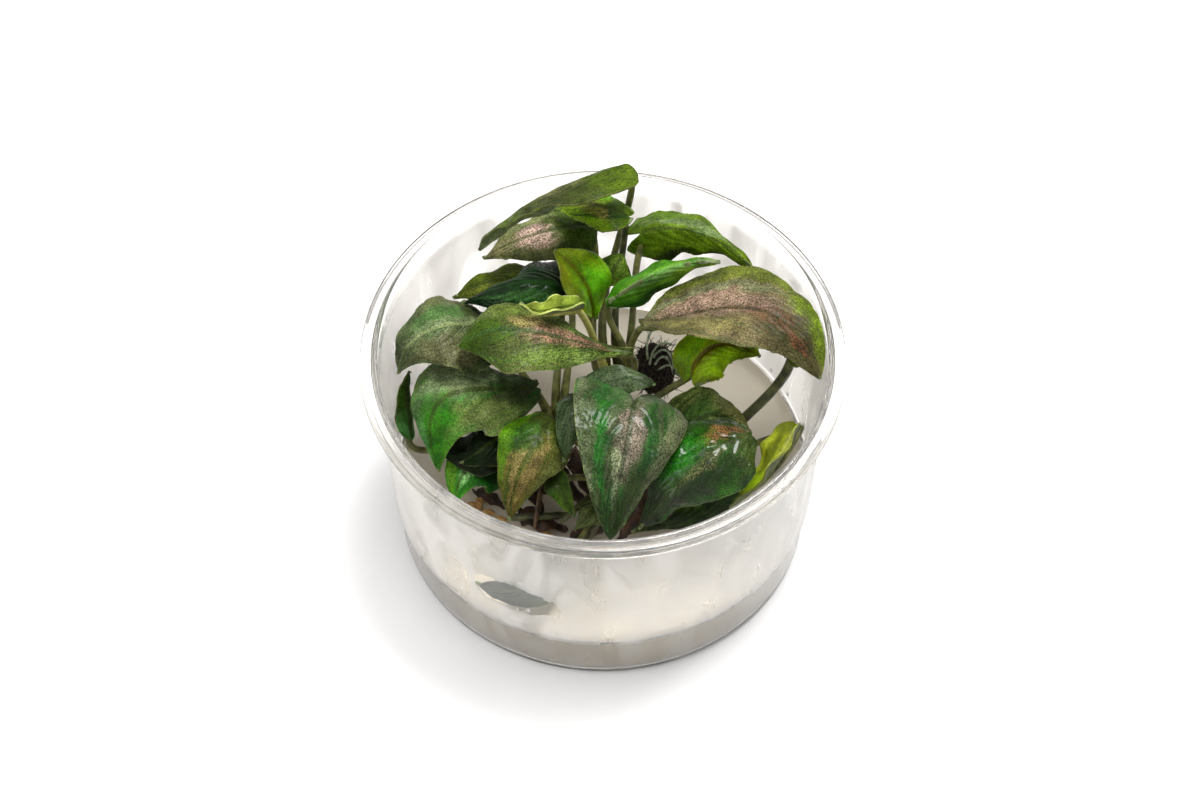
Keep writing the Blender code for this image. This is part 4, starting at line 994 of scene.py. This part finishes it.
# The broken stalks: stubs of dead leaves that lie among the crowns, dark olive and brown, and
# a few cream and orange crumbs of stem beside them on the gel.
stubs = (
    ((-19.5, -15.0, 16.6), (-15.0, -15.8, 17.6), (-11.0, -15.4, 17.4), (-7.0, -14.2, 16.6), 0.85),
    ((-12.5, -4.0, 18.5), (-13.0, -9.0, 20.5), (-13.5, -14.0, 20.0), (-14.5, -18.5, 17.0), 0.6),
    ((-1.5, -10.5, 19.0), (-3.0, -13.0, 21.5), (-5.5, -16.0, 21.5), (-9.0, -18.5, 19.5), 0.7),
    ((-6.5, -1.5, 22.0), (-8.5, -5.0, 24.0), (-9.5, -8.0, 24.0), (-10.5, -11.5, 22.0), 0.6),
    ((4.5, -10.0, 22.0), (2.0, -14.0, 22.5), (-1.0, -18.0, 21.0), (-3.0, -22.5, 17.5), 0.7),
    ((-22.0, 2.0, 17.0), (-19.0, -1.0, 19.0), (-16.0, -3.0, 19.5), (-12.5, -4.0, 18.5), 0.6),
)
parts = []
for place, (*corners, radius) in enumerate(stubs):
    corners = [Vector(corner) for corner in corners]
    path = [bezier(corners, step / 14) for step in range(15)]
    parts.append(tube("stub", path, [radius] * 12 + [0.9 * radius, 0.7 * radius, 0.35 * radius]))
    parts[-1].data.materials.append((olive_stalk, brown_stalk)[place % 2])
crumb_skin = mottled("stem_crumbs", "8a5a24", "c8a468", 0.8, 0.7, 0.15)
crumbs = (
    ((-27.5, -11.0, 15.0), 1.3), ((-24.5, -12.6, 14.8), 1.0), ((-26.0, -9.4, 14.8), 0.9),
    ((-22.0, -14.6, 14.9), 1.2), ((-12.0, -18.5, 14.9), 1.1), ((-9.8, 1.8, 25.0), 0.9),
    ((-11.4, 0.4, 24.0), 0.7),
)
for place, size in crumbs:
    deselect()
    bpy.ops.mesh.primitive_ico_sphere_add(subdivisions=3, radius=1.0)
    crumb = bpy.context.object
    for vert in crumb.data.vertices:
        bumpy = 1.0 + 0.35 * noise.noise(vert.co * 1.7 + Vector(place))
        vert.co = (Vector(place) + vert.co * Vector((1.4, 0.8, 0.6)) * (size * bumpy)) * MM
    smooth(60)
    crumb.data.materials.append(crumb_skin)
    parts.append(crumb)
finish(join(parts, "broken_stalks"), olive_stalk, "dark_roots")

# The stage: a plain white table top in soft studio light, seen as in the photograph.
deselect()
bpy.ops.mesh.primitive_plane_add(size=4.0, location=(0, 0, 0))
floor = bpy.context.object
floor.name = "table_top"
table, tree, shader = new_material("white_table_top", {
    "Base Color": linear("fafafa"), "Roughness": 0.6})
floor.data.materials.append(table)

world = bpy.data.worlds.new("soft_white_room")
bpy.context.scene.world = world
world.use_nodes = True
world.node_tree.nodes["Background"].inputs["Color"].default_value = (1.0, 1.0, 1.0, 1.0)
world.node_tree.nodes["Background"].inputs["Strength"].default_value = 0.68
for name, spot, size, power in (("key", (0.15, 0.15, 0.75), 0.35, 7.6),
                                ("fill", (-0.4, -0.3, 0.6), 0.5, 1.5)):
    deselect()
    bpy.ops.object.light_add(type="AREA", location=spot)
    lamp = bpy.context.object
    lamp.name = name + "_softbox"
    lamp.data.shape = "SQUARE"
    lamp.data.size = size
    lamp.data.energy = power
    lamp.rotation_euler = (Vector((0, 0, 0.03)) - lamp.location).to_track_quat("-Z", "Y").to_euler()

LOOK_AT = Vector((-0.6, 0.0, 38.07)) * MM
DISTANCE = 592.8 * MM
ELEVATION = math.radians(53.5)
away = Vector((0, -math.cos(ELEVATION), math.sin(ELEVATION)))
bpy.ops.object.camera_add(location=LOOK_AT + away * DISTANCE)
camera = bpy.context.object
camera.name = "camera"
camera.rotation_euler = (-away).to_track_quat("-Z", "Y").to_euler()
camera.data.lens = 85.0
camera.data.sensor_width = 36.0
bpy.context.scene.camera = camera
bpy.context.scene.view_settings.view_transform = "Standard"
